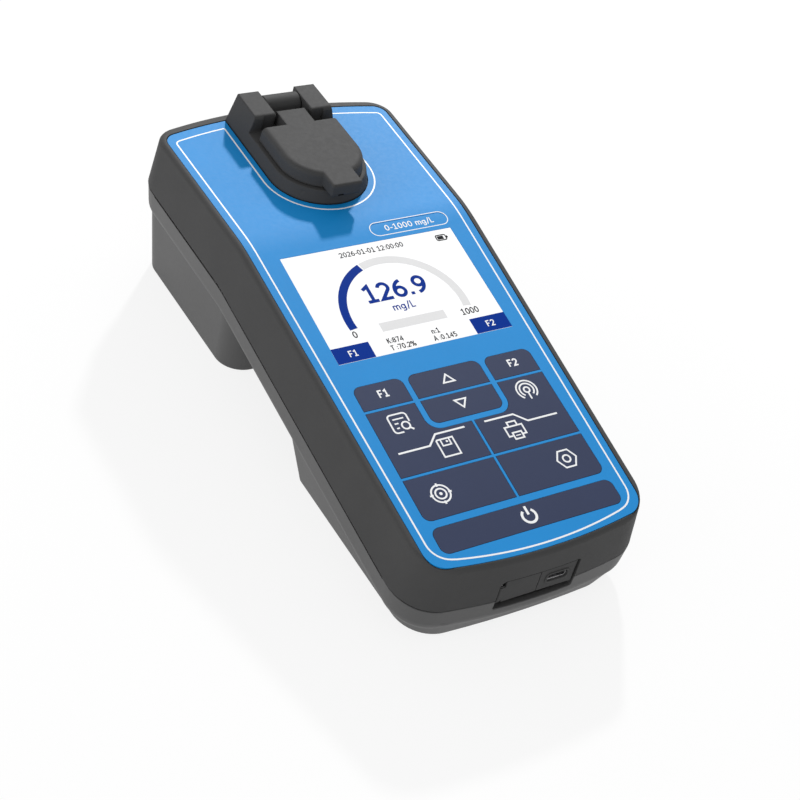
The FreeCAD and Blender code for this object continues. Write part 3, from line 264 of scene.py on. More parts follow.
# %% [markdown]
# One function builds every finish from three noises. The slowest drifts between two tones, one
# eleven times finer moves the roughness, and the finest is the grain. They are placed by object
# coordinates, which here are metres on the meter, so no piece has to be unwrapped.

# %% Build one finish from three noises
GLOSS_SPREAD = 0.03
GLOSS_FINER = 11
TONE_DETAIL, GLOSS_DETAIL, GRAIN_DETAIL = 3.0, 2.0, 1.0
GRAIN_STRENGTH = 0.6
BEVEL_SAMPLES = 6


def finish(name, colour, rough, tone=0.04, cloud=60.0, grain=1800.0, depth=0.02, edge=0.0,
           stretch=(1, 1, 1), other=None, **constants):
    """A finish: tone and gloss drift, grain in mm of depth, and edges rounded by edge mm."""
    material, output = new_material(name)
    tree = material.node_tree
    shader = tree.nodes.new("ShaderNodeBsdfPrincipled")
    mapping = tree.nodes.new("ShaderNodeMapping")
    mapping.inputs["Scale"].default_value = stretch
    tree.links.new(tree.nodes.new("ShaderNodeTexCoord").outputs["Object"], mapping.inputs["Vector"])
    place = mapping.outputs["Vector"]
    dark = [c * (1 - tone) for c in colour]
    pale = other or [min(c * (1 + tone), 1) for c in colour]
    drift = spread(tree, noise(tree, place, cloud, TONE_DETAIL), 0, 1)
    tree.links.new(two_tones(tree, drift, dark, pale), shader.inputs["Base Color"])
    cloudlets = noise(tree, place, cloud * GLOSS_FINER, GLOSS_DETAIL)
    gloss = spread(tree, cloudlets, rough * (1 - GLOSS_SPREAD), rough * (1 + GLOSS_SPREAD))
    tree.links.new(gloss, shader.inputs["Roughness"])
    bump = tree.nodes.new("ShaderNodeBump")
    bump.inputs["Strength"].default_value = GRAIN_STRENGTH
    bump.inputs["Distance"].default_value = depth * MM
    tree.links.new(noise(tree, place, grain, GRAIN_DETAIL), bump.inputs["Height"])
    if edge:
        soft_edge = tree.nodes.new("ShaderNodeBevel")
        soft_edge.samples = BEVEL_SAMPLES
        soft_edge.inputs["Radius"].default_value = edge * MM
        tree.links.new(soft_edge.outputs[0], bump.inputs["Normal"])
    tree.links.new(bump.outputs["Normal"], shader.inputs["Normal"])
    for label, value in constants.items():
        shader.inputs[label.replace("_", " ")].default_value = value
    tree.links.new(shader.outputs[0], output.inputs["Surface"])
    return material


print("roughness drifts by", GLOSS_SPREAD, "either way")

# %% [markdown]
# The shells, the lid and its collar are one dark grey plastic. The lower shell leaves a smoother
# mould, so it takes more sheen from the table, and its grey is also painted a shade paler, as painted
# light thrown up from the floor. The overlay is a printed polyester film with a velvet face, whose
# grain is much finer and shallower than the mould's.

# %% Plastics, film and rubber
MOULD_GRAIN = 2200.0
FILM_GRAIN = 4000.0
finishes = {
    "case": finish("case_moulding", (0.052, 0.052, 0.0525), 0.64, edge=0.4, grain=MOULD_GRAIN,
                   depth=0.03, Specular_IOR_Level=0.15),
    # The lower shell's grey is painted a shade paler than the case's, as painted light from the floor;
    # its extra sheen is real gloss.
    "lower": finish("lower_moulding_painted_paler", (0.054, 0.054, 0.0545), 0.50, edge=0.7, grain=MOULD_GRAIN,
                    depth=0.03, Specular_IOR_Level=0.55),
    "lid": finish("lid_moulding", (0.046, 0.046, 0.0465), 0.66, edge=1.0, grain=MOULD_GRAIN,
                  depth=0.02, Specular_IOR_Level=0.14),
    "film": finish("overlay_film", (0.0, 0.232, 0.60), 0.60, tone=0.02, grain=FILM_GRAIN,
                   depth=0.005, Specular_IOR_Level=0.26),
    "key": finish("key_film", (0.020, 0.031, 0.078), 0.58, tone=0.03, grain=FILM_GRAIN,
                  depth=0.005, edge=0.15, Specular_IOR_Level=0.22),
    "black": finish("socket_black", (0.010, 0.010, 0.011), 0.5, edge=0.15,
                    Specular_IOR_Level=0.25),
    "rubber": finish("soft_rubber", (0.016, 0.016, 0.017), 0.75, depth=0.04, edge=0.2,
                     Specular_IOR_Level=0.2),
    # Near black: the real case gasket, and also painted shade in the gaps round the port recess, along
    # the seam and in the nail slot.
    "seal_and_shade": finish("seal_rubber_and_painted_shade", (0.003, 0.003, 0.003), 0.85, depth=0.02,
                   Specular_IOR_Level=0.05),
    "wrap": finish("cell_sleeve", (0.10, 0.32, 0.20), 0.35, tone=0.05, edge=0.3),
}
print("plastics:", sorted(finishes))

# %% [markdown]
# Screws and pins are plated steel, turned on a lathe, so their grain runs one way: the noise is
# stretched along Y. Contacts are brass with a warm second tone. The boards are glass laminate
# under green mask, where a copper pour shows through as a paler, yellower green.

# %% Metals, boards and glass
LATHE = (1, 0.06, 1)
finishes.update({
    "steel": finish("plated_steel", (0.60, 0.60, 0.61), 0.30, tone=0.05, stretch=LATHE, depth=0.004,
                    edge=0.15, Metallic=1.0),
    "brass": finish("contact_brass", (0.76, 0.58, 0.27), 0.32, stretch=LATHE, depth=0.004,
                    other=(0.84, 0.66, 0.33), Metallic=1.0),
    "board": finish("circuit_board", (0.012, 0.11, 0.05), 0.38, cloud=240.0, grain=900.0,
                    other=(0.05, 0.22, 0.06), Coat_Weight=0.3),
    "glass": finish("window_glass", (0.86, 0.93, 0.95), 0.05, tone=0.02, depth=0.001,
                    Transmission_Weight=0.9, IOR=1.52),
    "lens": finish("lamp_lens", (0.90, 0.72, 0.45), 0.12, tone=0.03, depth=0.001,
                   Transmission_Weight=0.6, IOR=1.5),
})
print("all finishes:", sorted(finishes))

# %% [markdown]
# Each node of the frame takes one of these finishes. A dictionary from finish to nodes keeps
# the list short, and a check at the end names what is still bare: only the display window,
# which waits for its lit page further on.

# %% Give every node its finish
wearing = {
    "case": ["upper_case", "port_plate", "port_flap"],
    "lower": ["lower_case", "battery_door"],
    "lid": ["lid_collar", "sample_lid"],
    "film": ["front_overlay"],
    "key": ["key_f1", "key_f2", "key_up", "key_down", "key_view_save", "key_send_print",
            "key_calibrate", "key_settings", "key_power"],
    "black": ["cell_holder", "board_chips", "buzzer", "through_detector", "side_detector",
              "charging_jack", "port_frame"],
    "rubber": ["lid_seal", "foot_pads"],
    "seal_and_shade": ["case_gasket"],
    "steel": ["display_module", "key_domes", "board_spacers", "clock_battery", "hinge_pin",
              "case_screws", "collar_screws", "door_screws", "flap_pin", "data_socket"],
    "brass": ["battery_contacts"],
    "board": ["key_board", "main_board", "source_board", "detector_board", "port_board"],
    "glass": ["well_windows"],
    "lens": ["light_source"],
    "wrap": ["battery_cells"],
}


def wear(node, material):
    """Puts one material on a node of the frame."""
    slots = nodes[node].data.materials
    slots.clear()
    slots.append(material)


for look, names in wearing.items():
    for name in names:
        wear(name, finishes[look])
undressed = sorted(set(nodes) - {n for names in wearing.values() for n in names})
print("still to dress:", undressed)

# %% [markdown]
# The keypad face is a plane that tips down to the front by 9.5 degrees. Everything printed on
# it is easier to draw flat, in keypad coordinates: x across, v up the slope from the middle of
# the display, and h above the face of the case. The film and the display window lie a little
# under that face, and ink stands a little over them. One function carries a point into the frame.

# %% Keypad coordinates
TILT = math.radians(9.5)
FACE_MIDDLE = Vector((0.0, 0.17, 55.34))
FILM = -0.15
LENS_FACE = -0.20
INK = 0.04
INK_ROOT = 0.01


def on_keypad(x, v, h):
    """A keypad point, in millimetres, as a place in the frame, in metres."""
    y = v * math.cos(TILT) - h * math.sin(TILT)
    z = v * math.sin(TILT) + h * math.cos(TILT)
    return (FACE_MIDDLE + Vector((x, y, z))) * MM


print("display middle at", [round(c, 4) for c in on_keypad(0, 0, LENS_FACE)])

# %% [markdown]
# Printed ink is a flat film a few hundredths of a millimetre thick. An image would be the usual
# way to show it, but thin solids keep their edges sharp at any distance. Each sign is drawn from
# straight runs and stretches of ovals, whose points come from three small functions.

# %% Points of flat shapes
def curve(x, v, rx, rv, start, end, steps=16):
    """Points on an oval from one angle to another, in degrees."""
    turns = [math.radians(start + (end - start) * i / steps) for i in range(steps + 1)]
    return [(x + rx * math.cos(t), v + rv * math.sin(t)) for t in turns]


def ring(x, v, rx, rv, steps=24):
    """Points of a whole oval, for a closed stroke or a patch."""
    return curve(x, v, rx, rv, 0, 360, steps)[:-1]


def rounded(x0, x1, v0, v1, radius, steps=6):
    """Points of a rounded rectangle, anticlockwise from its lower right corner."""
    points = []
    for cx, cv, start in ((x1 - radius, v0 + radius, -90), (x1 - radius, v1 - radius, 0),
                          (x0 + radius, v1 - radius, 90), (x0 + radius, v0 + radius, 180)):
        points += curve(cx, cv, radius, radius, start, start + 90, steps)
    return points


print("a ring has", len(ring(0, 0, 1, 1)), "points")

# %% [markdown]
# A stroke becomes a ribbon. Where it turns, both edges meet on the line that halves the corner,
# as a frame maker mitres a corner, and a limit keeps a sharp corner from growing a long spike.

# %% The two edges of a stroke
MITRE_LIMIT = 0.35


def mitred(points, width, closed):
    """The left and right edges of a stroke, with mitred corners."""
    count = len(points)
    left, right = [], []
    for i, (x, v) in enumerate(points):
        runs = []
        if i or closed:
            runs.append(Vector((x - points[i - 1][0], v - points[i - 1][1])).normalized())
        if i < count - 1 or closed:
            after = points[(i + 1) % count]
            runs.append(Vector((after[0] - x, after[1] - v)).normalized())
        along = (runs[0] + runs[-1]).normalized()
        out = Vector((-along.y, along.x))
        reach = width / 2 / max(out.dot(Vector((-runs[0].y, runs[0].x))), MITRE_LIMIT)
        left.append((x + out.x * reach, v + out.y * reach))
        right.append((x - out.x * reach, v - out.y * reach))
    return left, right


print("a mitre grows to", round(1 / MITRE_LIMIT, 1), "half widths at the most")

# %% [markdown]
# A screen printer lays each colour in one pass. The class below does the same: it collects
# strokes, patches and bars in one list of vertices and faces, with a root a little below the
# printed face so that no light shows under the ink, and makes one object that rides on a body.

# %% Collect a print and make it
class ScreenPrint:
    """Collects flat shapes on one face and makes one thin object of them."""

    def __init__(self, face=FILM, place=on_keypad, root=INK_ROOT):
        self.face, self.place, self.root = face, place, root
        self.vertices, self.faces = [], []

    def stroke(self, points, width, closed=False, lift=0.0):
        """A ribbon along the points, lifted where it lies over other ink."""
        base, count = len(self.vertices), len(points)
        top, low = self.face + INK + lift, self.face - self.root
        for a, b in zip(*mitred(points, width, closed)):
            for (x, v), h in ((a, top), (b, top), (b, low), (a, low)):
                self.vertices.append(self.place(x, v, h))
        for i in range(count if closed else count - 1):
            p, q = base + 4 * i, base + 4 * ((i + 1) % count)
            for k in range(4):
                n = (k + 1) % 4
                self.faces.append((p + k, p + n, q + n, q + k))
        if not closed:
            last = base + 4 * (count - 1)
            self.faces.append((base, base + 3, base + 2, base + 1))
            self.faces.append((last, last + 1, last + 2, last + 3))

    def patch(self, points, lift=0.0):
        """A filled outline."""
        base, count = len(self.vertices), len(points)
        for h in (self.face + INK + lift, self.face - self.root):
            self.vertices += [self.place(x, v, h) for x, v in points]
        self.faces.append(tuple(range(base, base + count)))
        self.faces.append(tuple(range(base + 2 * count - 1, base + count - 1, -1)))
        for i in range(count):
            j = (i + 1) % count
            self.faces.append((base + j, base + i, base + count + i, base + count + j))

    def bar(self, x0, x1, v0, v1, lift=0.0):
        """A filled rectangle."""
        self.patch([(x0, v0), (x1, v0), (x1, v1), (x0, v1)], lift)

    def make(self, name, material, body, slot_name):
        """The finished object, with every face turned outward."""
        made = mesh_object(name, self.vertices, self.faces)
        work = bmesh.new()
        work.from_mesh(made.data)
        bmesh.ops.recalc_face_normals(work, faces=work.faces)
        work.to_mesh(made.data)
        work.free()
        made.data.materials.append(material)
        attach(made, body)
        return made


white_ink = finish("white_ink", (0.86, 0.87, 0.88), 0.5, tone=0.02, grain=3000.0, depth=0.004,
                   Specular_IOR_Level=0.3)
print("ink stands", INK, "mm over the film")

# %% [markdown]
# Lettering could be a text object with the built-in face. A few strokes per sign, in a cell one
# high, come nearer to the plain upright figures that display makers use, and they are the same
# thin solids as the rest of the ink. Each stroke is a list of points, open or closed.

# %% A stroke alphabet for figures and units
SIX = [(ring(0.31, 0.31, 0.23, 0.25), True), (curve(0.55, 0.33, 0.47, 0.60, 98, 180), False)]
SIGNS = {
    "0": [(ring(0.31, 0.50, 0.23, 0.44), True)],
    "1": [([(0.08, 0.77), (0.34, 0.94), (0.34, 0.06)], False), ([(0.08, 0.06), (0.58, 0.06)], False)],
    "2": [(curve(0.31, 0.69, 0.23, 0.25, 165, -28) + [(0.08, 0.06), (0.57, 0.06)], False)],
    "4": [([(0.45, 0.0), (0.45, 0.92), (0.06, 0.29), (0.60, 0.29)], False)],
    "5": [([(0.53, 0.94), (0.14, 0.94), (0.12, 0.56)]
           + curve(0.29, 0.32, 0.25, 0.26, 110, -140), False)],
    "6": SIX,
    "7": [([(0.04, 0.94), (0.55, 0.94), (0.22, 0.0)], False)],
    "8": [(ring(0.31, 0.72, 0.19, 0.21), True), (ring(0.31, 0.29, 0.24, 0.23), True)],
    "9": [([(0.62 - x, 1.0 - v) for x, v in points], closed) for points, closed in SIX],
    "F": [([(0.12, 0.0), (0.12, 0.94), (0.56, 0.94)], False), ([(0.12, 0.50), (0.50, 0.50)], False)],
    "K": [([(0.12, 0.0), (0.12, 1.0)], False), ([(0.55, 1.0), (0.14, 0.45)], False),
          ([(0.28, 0.62), (0.58, 0.0)], False)],
    "T": [([(0.02, 0.94), (0.60, 0.94)], False), ([(0.31, 0.94), (0.31, 0.0)], False)],
    "A": [([(0.02, 0.0), (0.31, 0.95), (0.60, 0.0)], False), ([(0.13, 0.32), (0.49, 0.32)], False)],
    "L": [([(0.12, 1.0), (0.12, 0.06), (0.52, 0.06)], False)],
    "n": [([(0.10, 0.0), (0.10, 0.68)], False),
          (curve(0.29, 0.42, 0.19, 0.22, 170, 0) + [(0.48, 0.0)], False)],
    "m": [([(0.10, 0.0), (0.10, 0.68)], False),
          (curve(0.27, 0.44, 0.17, 0.20, 170, 0) + [(0.44, 0.0)], False),
          (curve(0.61, 0.44, 0.17, 0.20, 170, 0) + [(0.78, 0.0)], False)],
    "g": [(ring(0.29, 0.36, 0.20, 0.27), True),
          ([(0.50, 0.68), (0.50, 0.0)] + curve(0.29, -0.02, 0.21, 0.21, 0, -140), False)],
    "/": [([(0.04, -0.12), (0.36, 1.04)], False)],
    "%": [(ring(0.18, 0.76, 0.13, 0.19), True), (ring(0.68, 0.22, 0.13, 0.19), True),
          ([(0.22, 0.0), (0.64, 0.98)], False)],
    ".": [([(0.12, 0.0), (0.12, 0.16)], False)],
    ":": [([(0.14, 0.06), (0.14, 0.20)], False), ([(0.14, 0.48), (0.14, 0.62)], False)],
    "-": [([(0.05, 0.38), (0.35, 0.38)], False)],
    " ": [],
}
print("signs in the alphabet:", len(SIGNS))

# %% [markdown]
# A line of signs is centred on its place. Most signs take the same step, narrow and wide ones
# their own. One number sets how bold the signs are and another how wide. Where strokes of a sign
# cross, the later one is lifted by a layer of a few thousandths of a millimetre, so that no two
# faces share one plane and flicker.

# %% Write a line of signs
CELL = 0.70
OTHER_CELLS = {".": 0.30, ":": 0.32, "-": 0.42, " ": 0.34, "/": 0.44, "L": 0.58, "n": 0.62,
               "m": 0.92, "%": 0.92}
LAYER = 0.003


def letter(sheet_of_ink, words, x, v, height, weight, wide=1.0):
    """Draws words centred on x, standing on v, height tall, with strokes of weight times that."""
    steps = [OTHER_CELLS.get(sign, CELL) * height * wide for sign in words]
    start = x - sum(steps) / 2
    for sign, step in zip(words, steps):
        for layer, (points, closed) in enumerate(SIGNS[sign]):
            placed = [(start + px * height * wide, v + pv * height) for px, pv in points]
            sheet_of_ink.stroke(placed, weight * height, closed, lift=layer * LAYER)
        start += step


print("signs with a step of their own:", sorted(OTHER_CELLS))

# %% [markdown]
# A thin white line follows the edge of the overlay and swings round the lid in a U. It crosses
# the bend between the two faces, so its points are given in plan and lifted to the bent face.
# The level rear face is the top of the upper shell, and the bend starts and ends at a tangent.

# %% Points on the bent face
case_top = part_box("upper_case")[1][2] / MM
BEND_Y = 34.0
BEND_R = 70.0
bend_rear = BEND_Y + BEND_R * math.tan(TILT / 2)


def on_case(x, y, h):
    """A plan point, in millimetres, lifted to the bent top face."""
    bend_front = bend_rear - BEND_R * math.sin(TILT)
    if y > bend_rear:
        turn, z = 0.0, case_top
    elif y > bend_front:
        turn = math.asin((bend_rear - y) / BEND_R)
        z = case_top - BEND_R * (1 - math.cos(turn))
    else:
        turn = TILT
        z = case_top - (BEND_Y - y) * math.tan(TILT)
    return Vector((x, y - h * math.sin(turn), z + h * math.cos(turn))) * MM


print("the bend runs forward from", round(bend_rear, 2), "mm, and the top is at", round(case_top, 2))

# %% [markdown]
# The front and rear runs of the line are bowed like the ends of the overlay, at a set distance
# inside them, and the two long sides spread a little to the rear. Each run is a small formula.

# %% The runs of the border line
FRONT_INSET, REAR_INSET = 1.75, 3.227
FRONT_BOW, REAR_BOW = 165.0, 185.0
LINE_HALF, LINE_SPREAD = 43.05, 0.0222
film_low, film_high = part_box("front_overlay")
front_line_y = film_low[1] / MM + FRONT_INSET
rear_line_y = film_high[1] / MM - REAR_INSET


def line_half(y):
    """Half width of the border line, wider to the rear."""
    return LINE_HALF + LINE_SPREAD * y


def front_line(x):
    """The bowed front run."""
    return front_line_y + x * x / (2 * FRONT_BOW)


def rear_line(x):
    """The bowed rear run."""
    return rear_line_y - x * x / (2 * REAR_BOW)


print("border line is", 2 * line_half(0), "mm wide at the middle")

# %% [markdown]
# Each corner of an outline is given with a radius, and one function swaps it for an arc that
# touches both neighbours. A point with no radius stays as it is.

# %% Round the corners of an outline
def eased(points, steps=8):
    """A closed outline in which each corner (x, y, radius) with a radius becomes an arc."""
    made = []
    for i, (x, y, radius) in enumerate(points):
        if not radius:
            made.append((x, y))
            continue
        here = Vector((x, y))
        a = (Vector(points[i - 1][:2]) - here).normalized()
        b = (Vector(points[(i + 1) % len(points)][:2]) - here).normalized()
        half = a.angle(b) / 2
        centre = here + (a + b).normalized() * (radius / math.sin(half))
        p = here + a * (radius / math.tan(half)) - centre
        turn = p.angle_signed(here + b * (radius / math.tan(half)) - centre)
        for k in range(steps + 1):
            t = math.atan2(p.y, p.x) - turn * k / steps
            made.append((centre.x + radius * math.cos(t), centre.y + radius * math.sin(t)))
    return made


print("a rounded square has", len(eased([(1, 1, 1), (-1, 1, 1), (-1, -1, 1), (1, -1, 1)])), "points")

# %% [markdown]
# Half the border line is enough: the other half is its mirror image. It runs from the middle of
# the front to the U round the lid. Round the bend the points lie one millimetre apart, or the
# line would sink into the curve between them.

# %% Print the border line
LINE_WIDTH = 0.62
FRONT_CORNER, FRONT_CORNER_Y, FRONT_CORNER_LIFT = 8.0, -100, 0.3
REAR_CORNER, REAR_CORNER_Y = 2.2, 97
LID_LINE_R, LID_LINE_Y, LID_CORNER = 22.7, 67.0, 0.6
front_corner_y = front_line(line_half(FRONT_CORNER_Y)) + FRONT_CORNER_LIFT
half_line = [(x, front_line(x), 0) for x in range(0, 34, 3)]
half_line.append((line_half(front_corner_y), front_corner_y, FRONT_CORNER))
straight_side, bent_side = [-70, -30, 0, 20], list(range(26, 43))
half_line += [(line_half(y), y, 0) for y in straight_side + bent_side]
rear_x = line_half(REAR_CORNER_Y)
half_line.append((rear_x, rear_line(rear_x), REAR_CORNER))
half_line += [(x, rear_line(x), 0) for x in (38, 33, 28)]
half_line.append((LID_LINE_R, rear_line(LID_LINE_R), LID_CORNER))
half_line += [(x, y, 0) for x, y in curve(0, LID_LINE_Y, LID_LINE_R, LID_LINE_R, 0, -90)]
whole_line = half_line + [(-x, y, r) for x, y, r in reversed(half_line[1:-1])]
border = ScreenPrint(place=on_case)
border.stroke(eased(whole_line), LINE_WIDTH, closed=True)
border_line = border.make("border_line", white_ink, "housing", "overlay_film")
print("border line:", len(whole_line), "points,", len(border_line.data.polygons), "faces")

# %% [markdown]
# Above the display on the right stands an outline with round ends. It holds what any meter may
# say: the plain range that the gauge shows. Its corners are as round as its height allows.

# %% Print the range plate
PLATE_LEFT, PLATE_RIGHT, PLATE_LOW, PLATE_TOP = 4.0, 37.7, 27.1, 33.6
PLATE_ROUND, PLATE_LINE = 3.24, 0.34
RANGE_LOW = 28.95
plate = ScreenPrint()
plate_outline = rounded(PLATE_LEFT, PLATE_RIGHT, PLATE_LOW, PLATE_TOP, PLATE_ROUND, steps=10)
plate.stroke(plate_outline, PLATE_LINE, closed=True)
plate_middle = (PLATE_LEFT + PLATE_RIGHT) / 2
letter(plate, "0-1000 mg/L", plate_middle, RANGE_LOW, height=2.7, weight=0.15, wide=1.15)
range_plate = plate.make("range_plate", white_ink, "housing", "overlay_film")
print("range plate:", len(range_plate.data.polygons), "faces")

# %% [markdown]
# Round the recess for the sockets the gap lies in shade, and that shade is painted: a thin dark strip
# of seal rubber lies under the upper edge and down the left side as a painted shadow line. Its points
# lie on the wall of the upper shell: a ray from the front, cast just outside the recess, finds how far
# the wall bulges at each one.

# %% Lay the painted shadow line round the port recess
PORT_SHADOW_WIDTH, PORT_SHADOW_DEPTH, PORT_SHADOW_SUNK = 0.24, 0.6, 0.02
PORT_SHADOW_PARTS = 8
PORT_SHADOW_LOW_END, PORT_SHADOW_RIGHT_END = 4.5, 1.2
PORT_CORNER = 2.6
FLAP_ASIDE, PLATE_ASIDE, PLATE_BELOW, FLAP_ABOVE = 0.3, 0.9, 0.45, 2.8
RAY_ASIDE, RAY_BACK, LEFT_BAND = 0.5, 5, 1
front_y = cad_box[0][1] / MM
flap_low, plate_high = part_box("port_flap")[0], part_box("port_plate")[1]
port_left = flap_low[0] / MM - FLAP_ASIDE
port_right = plate_high[0] / MM + PLATE_ASIDE
port_top = plate_high[2] / MM + PLATE_BELOW
port_low = flap_low[2] / MM - FLAP_ABOVE


def on_front_wall(x, z, h):
    """A point of the front wall, in millimetres, sunk by -h, as a place in the frame."""
    ray_x = x - RAY_ASIDE if x < port_left + LEFT_BAND else x
    start = Vector((ray_x, front_y - RAY_BACK, z + RAY_ASIDE)) * MM
    wall = nodes["upper_case"].ray_cast(start, Vector((0, 1, 0)))[1]
    return Vector((x * MM, wall.y - h * MM, z * MM))


inset = PORT_SHADOW_WIDTH / 2 + PORT_SHADOW_SUNK
port_shadow_left, port_shadow_top, port_shadow_r = port_left + inset, port_top - inset, PORT_CORNER - inset
port_shadow_line = [(port_shadow_left, port_low + PORT_SHADOW_LOW_END)]
port_shadow_line += curve(port_shadow_left + port_shadow_r, port_shadow_top - port_shadow_r, port_shadow_r, port_shadow_r, 180, 90, PORT_SHADOW_PARTS)
part = (port_right - port_left) / PORT_SHADOW_PARTS
port_shadow_line += [(port_left + part * i, port_shadow_top) for i in range(2, PORT_SHADOW_PARTS)]
port_shadow_line.append((port_right - PORT_SHADOW_RIGHT_END, port_shadow_top))
# A dark strip sunk into the wall: painted shadow of the gap round the recess.
port_shadow_print = ScreenPrint(face=-INK - PORT_SHADOW_SUNK, place=on_front_wall, root=PORT_SHADOW_DEPTH)
port_shadow_print.stroke(port_shadow_line, PORT_SHADOW_WIDTH)
port_shadow_print.make("port_painted_shadow", finishes["seal_and_shade"], "housing", "case_plastic")
print("port recess from", round(port_left, 2), "to", round(port_right, 2), "mm")

# %% [markdown]
# A fine dark line runs round the case in the seam and stops at the port recess. The seal in the seam
# is real, but it lies inside, and from above the upper shell hides the gap; so a lip of the dark seal
# rubber hangs a little over the lower wall as a painted shadow line for the shade of that gap. The
# seam is parallel to the bent top face, and its depth under that face is read from the frame, off the
# rim of the lower shell.

# %% How high the seam runs
seam_depth = case_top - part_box("lower_case")[1][2] / MM


def seam_z(y):
    """Height of the lower shell's rim at that y, round the same bend as the top face."""
    run, bend = bend_rear - y, BEND_R - seam_depth
    if run <= 0:
        return case_top - seam_depth
    if run < bend * math.sin(TILT):
        return case_top - BEND_R + math.sqrt(bend ** 2 - run ** 2)
    past = run - bend * math.sin(TILT)
    return case_top - BEND_R + bend * math.cos(TILT) - past * math.tan(TILT)


def on_seam(x, y, h):
    """A plan point, in millimetres, h over the rim of the lower shell."""
    return Vector((x, y, seam_z(y) + h)) * MM


print("the seam lies", round(seam_depth, 2), "mm under the top face")

# %% [markdown]
# Rays from outside find the lower wall just under its rim. Where a ray lands decides how high
# the rim is there, and so how high the ray should have been: each ray is cast three times, from
# the height that the last one found. The line is then moved a little into the wall, so that the
# lip has its root there and stands out by a few hundredths of a millimetre. This holds along the
# sides and the rear. A known fault is left at the front corners and on the front wall: the first
# guess is too high there, so the ray passes over the rim and lands inside the case. The lip is
# missing there, and some strands of it cross the inside. A lower first guess would mend it.

# %% Run the painted shadow line along the seam
SEAM_SHADOW_TALL, SEAM_SHADOW_OUT, SEAM_SHADOW_ROOT = 0.42, 0.03, 0.25
SEAM_SHADOW_STEP = 1.25
OUTSIDE = 200.0
CASTS = 3


def lower_wall(turn):
    """Where a ray towards the middle meets the lower shell just under its rim, in plan."""
    way = Vector((math.cos(turn), math.sin(turn), 0))
    y = OUTSIDE / 2 * way.y
    for _ in range(CASTS):
        start = (way * OUTSIDE + Vector((0, 0, seam_z(y) - SEAM_SHADOW_TALL))) * MM
        place = nodes["lower_case"].ray_cast(start, -way)[1]
        y = place.y / MM
    return place.x / MM, y


seam_shadow_start = math.degrees(math.atan2(front_y, port_right))
seam_shadow_end = math.degrees(math.atan2(front_y, port_left)) + 360
seam_shadow_count = round((seam_shadow_end - seam_shadow_start) / SEAM_SHADOW_STEP)
around = [lower_wall(math.radians(seam_shadow_start + (seam_shadow_end - seam_shadow_start) * i / seam_shadow_count))
          for i in range(seam_shadow_count + 1)]
seam_shadow_line = mitred(around, SEAM_SHADOW_ROOT - SEAM_SHADOW_OUT, False)[0]
# The dark lip stands out of the seam as a painted shadow line of its gap.
seam_shadow_print = ScreenPrint(face=-INK, place=on_seam, root=SEAM_SHADOW_TALL)
seam_shadow_print.stroke(seam_shadow_line, SEAM_SHADOW_ROOT + SEAM_SHADOW_OUT)
seam_shadow_print.make("seam_painted_shadow", finishes["seal_and_shade"], "housing", "rubber")
print("seam lip:", len(around), "points, of which those at the front are not on the wall")

# %% [markdown]
# The finger tab of the lid has a small slot low in its front face, for a fingernail. On the real lid
# it is a cut, which reads dark with shade; here a thin dark inlay on the face of the tab is painted
# shade in its place, and it rides on the lid, so that it swings up with the tab.

# %% Paint the shade of the nail slot on the finger tab
SLOT_LEFT, SLOT_RIGHT = -3.6, -1.3
SLOT_UNDER, SLOT_TALL = 5.25, 0.55
lid_low, lid_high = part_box("sample_lid")
tab_front = lid_low[1] / MM
slot_top = lid_high[2] / MM - SLOT_UNDER


def on_tab(x, z, h):
    """A point h in front of the finger tab."""
    return Vector((x, tab_front - h, z)) * MM


# A thin dark bar: painted shade of the slot's cut.
slot_shade_print = ScreenPrint(face=0.0, place=on_tab)
slot_shade_print.bar(SLOT_LEFT, SLOT_RIGHT, slot_top - SLOT_TALL, slot_top)
slot_shade_print.make("nail_slot_painted_shade", finishes["seal_and_shade"], "lid", "lid_plastic")
print("nail slot", round(SLOT_RIGHT - SLOT_LEFT, 2), "mm wide")

# %% [markdown]
# The keys carry outline symbols. Each symbol rides on its own key, so that it goes down when
# the key is pressed. F1 and F2 are the only letters on them, and two triangles point up and down.

# %% Print the function keys and the arrows
STROKE = 0.62
F1_X, F2_X, F_LOW = -26.3, 27.8, -41.75
ARROW_X, ARROW_LEFT, ARROW_RIGHT = -0.2, -2.5, 2.1
symbols = {}


def symbol(key):
    """The ink of one key, started when first asked for."""
    return symbols.setdefault(key, ScreenPrint())


letter(symbol("key_f1"), "F1", F1_X, F_LOW, height=3.1, weight=0.19)
letter(symbol("key_f2"), "F2", F2_X, F_LOW, height=3.1, weight=0.19)
for key, foot, tip in (("key_up", -41.85, -38.45), ("key_down", -49.8, -53.3)):
    triangle = [(ARROW_LEFT, foot), (ARROW_X, tip), (ARROW_RIGHT, foot)]
    symbol(key).stroke(triangle, STROKE, closed=True)
print("letters and arrows on", sorted(symbols))

# %% [markdown]
# The left wide key has two jobs, so it carries two symbols over and under a stepped line: a
# page with a magnifier, for looking at stored readings, and a diskette, for saving one. Ink
# that crosses other ink is lifted by a layer here too.

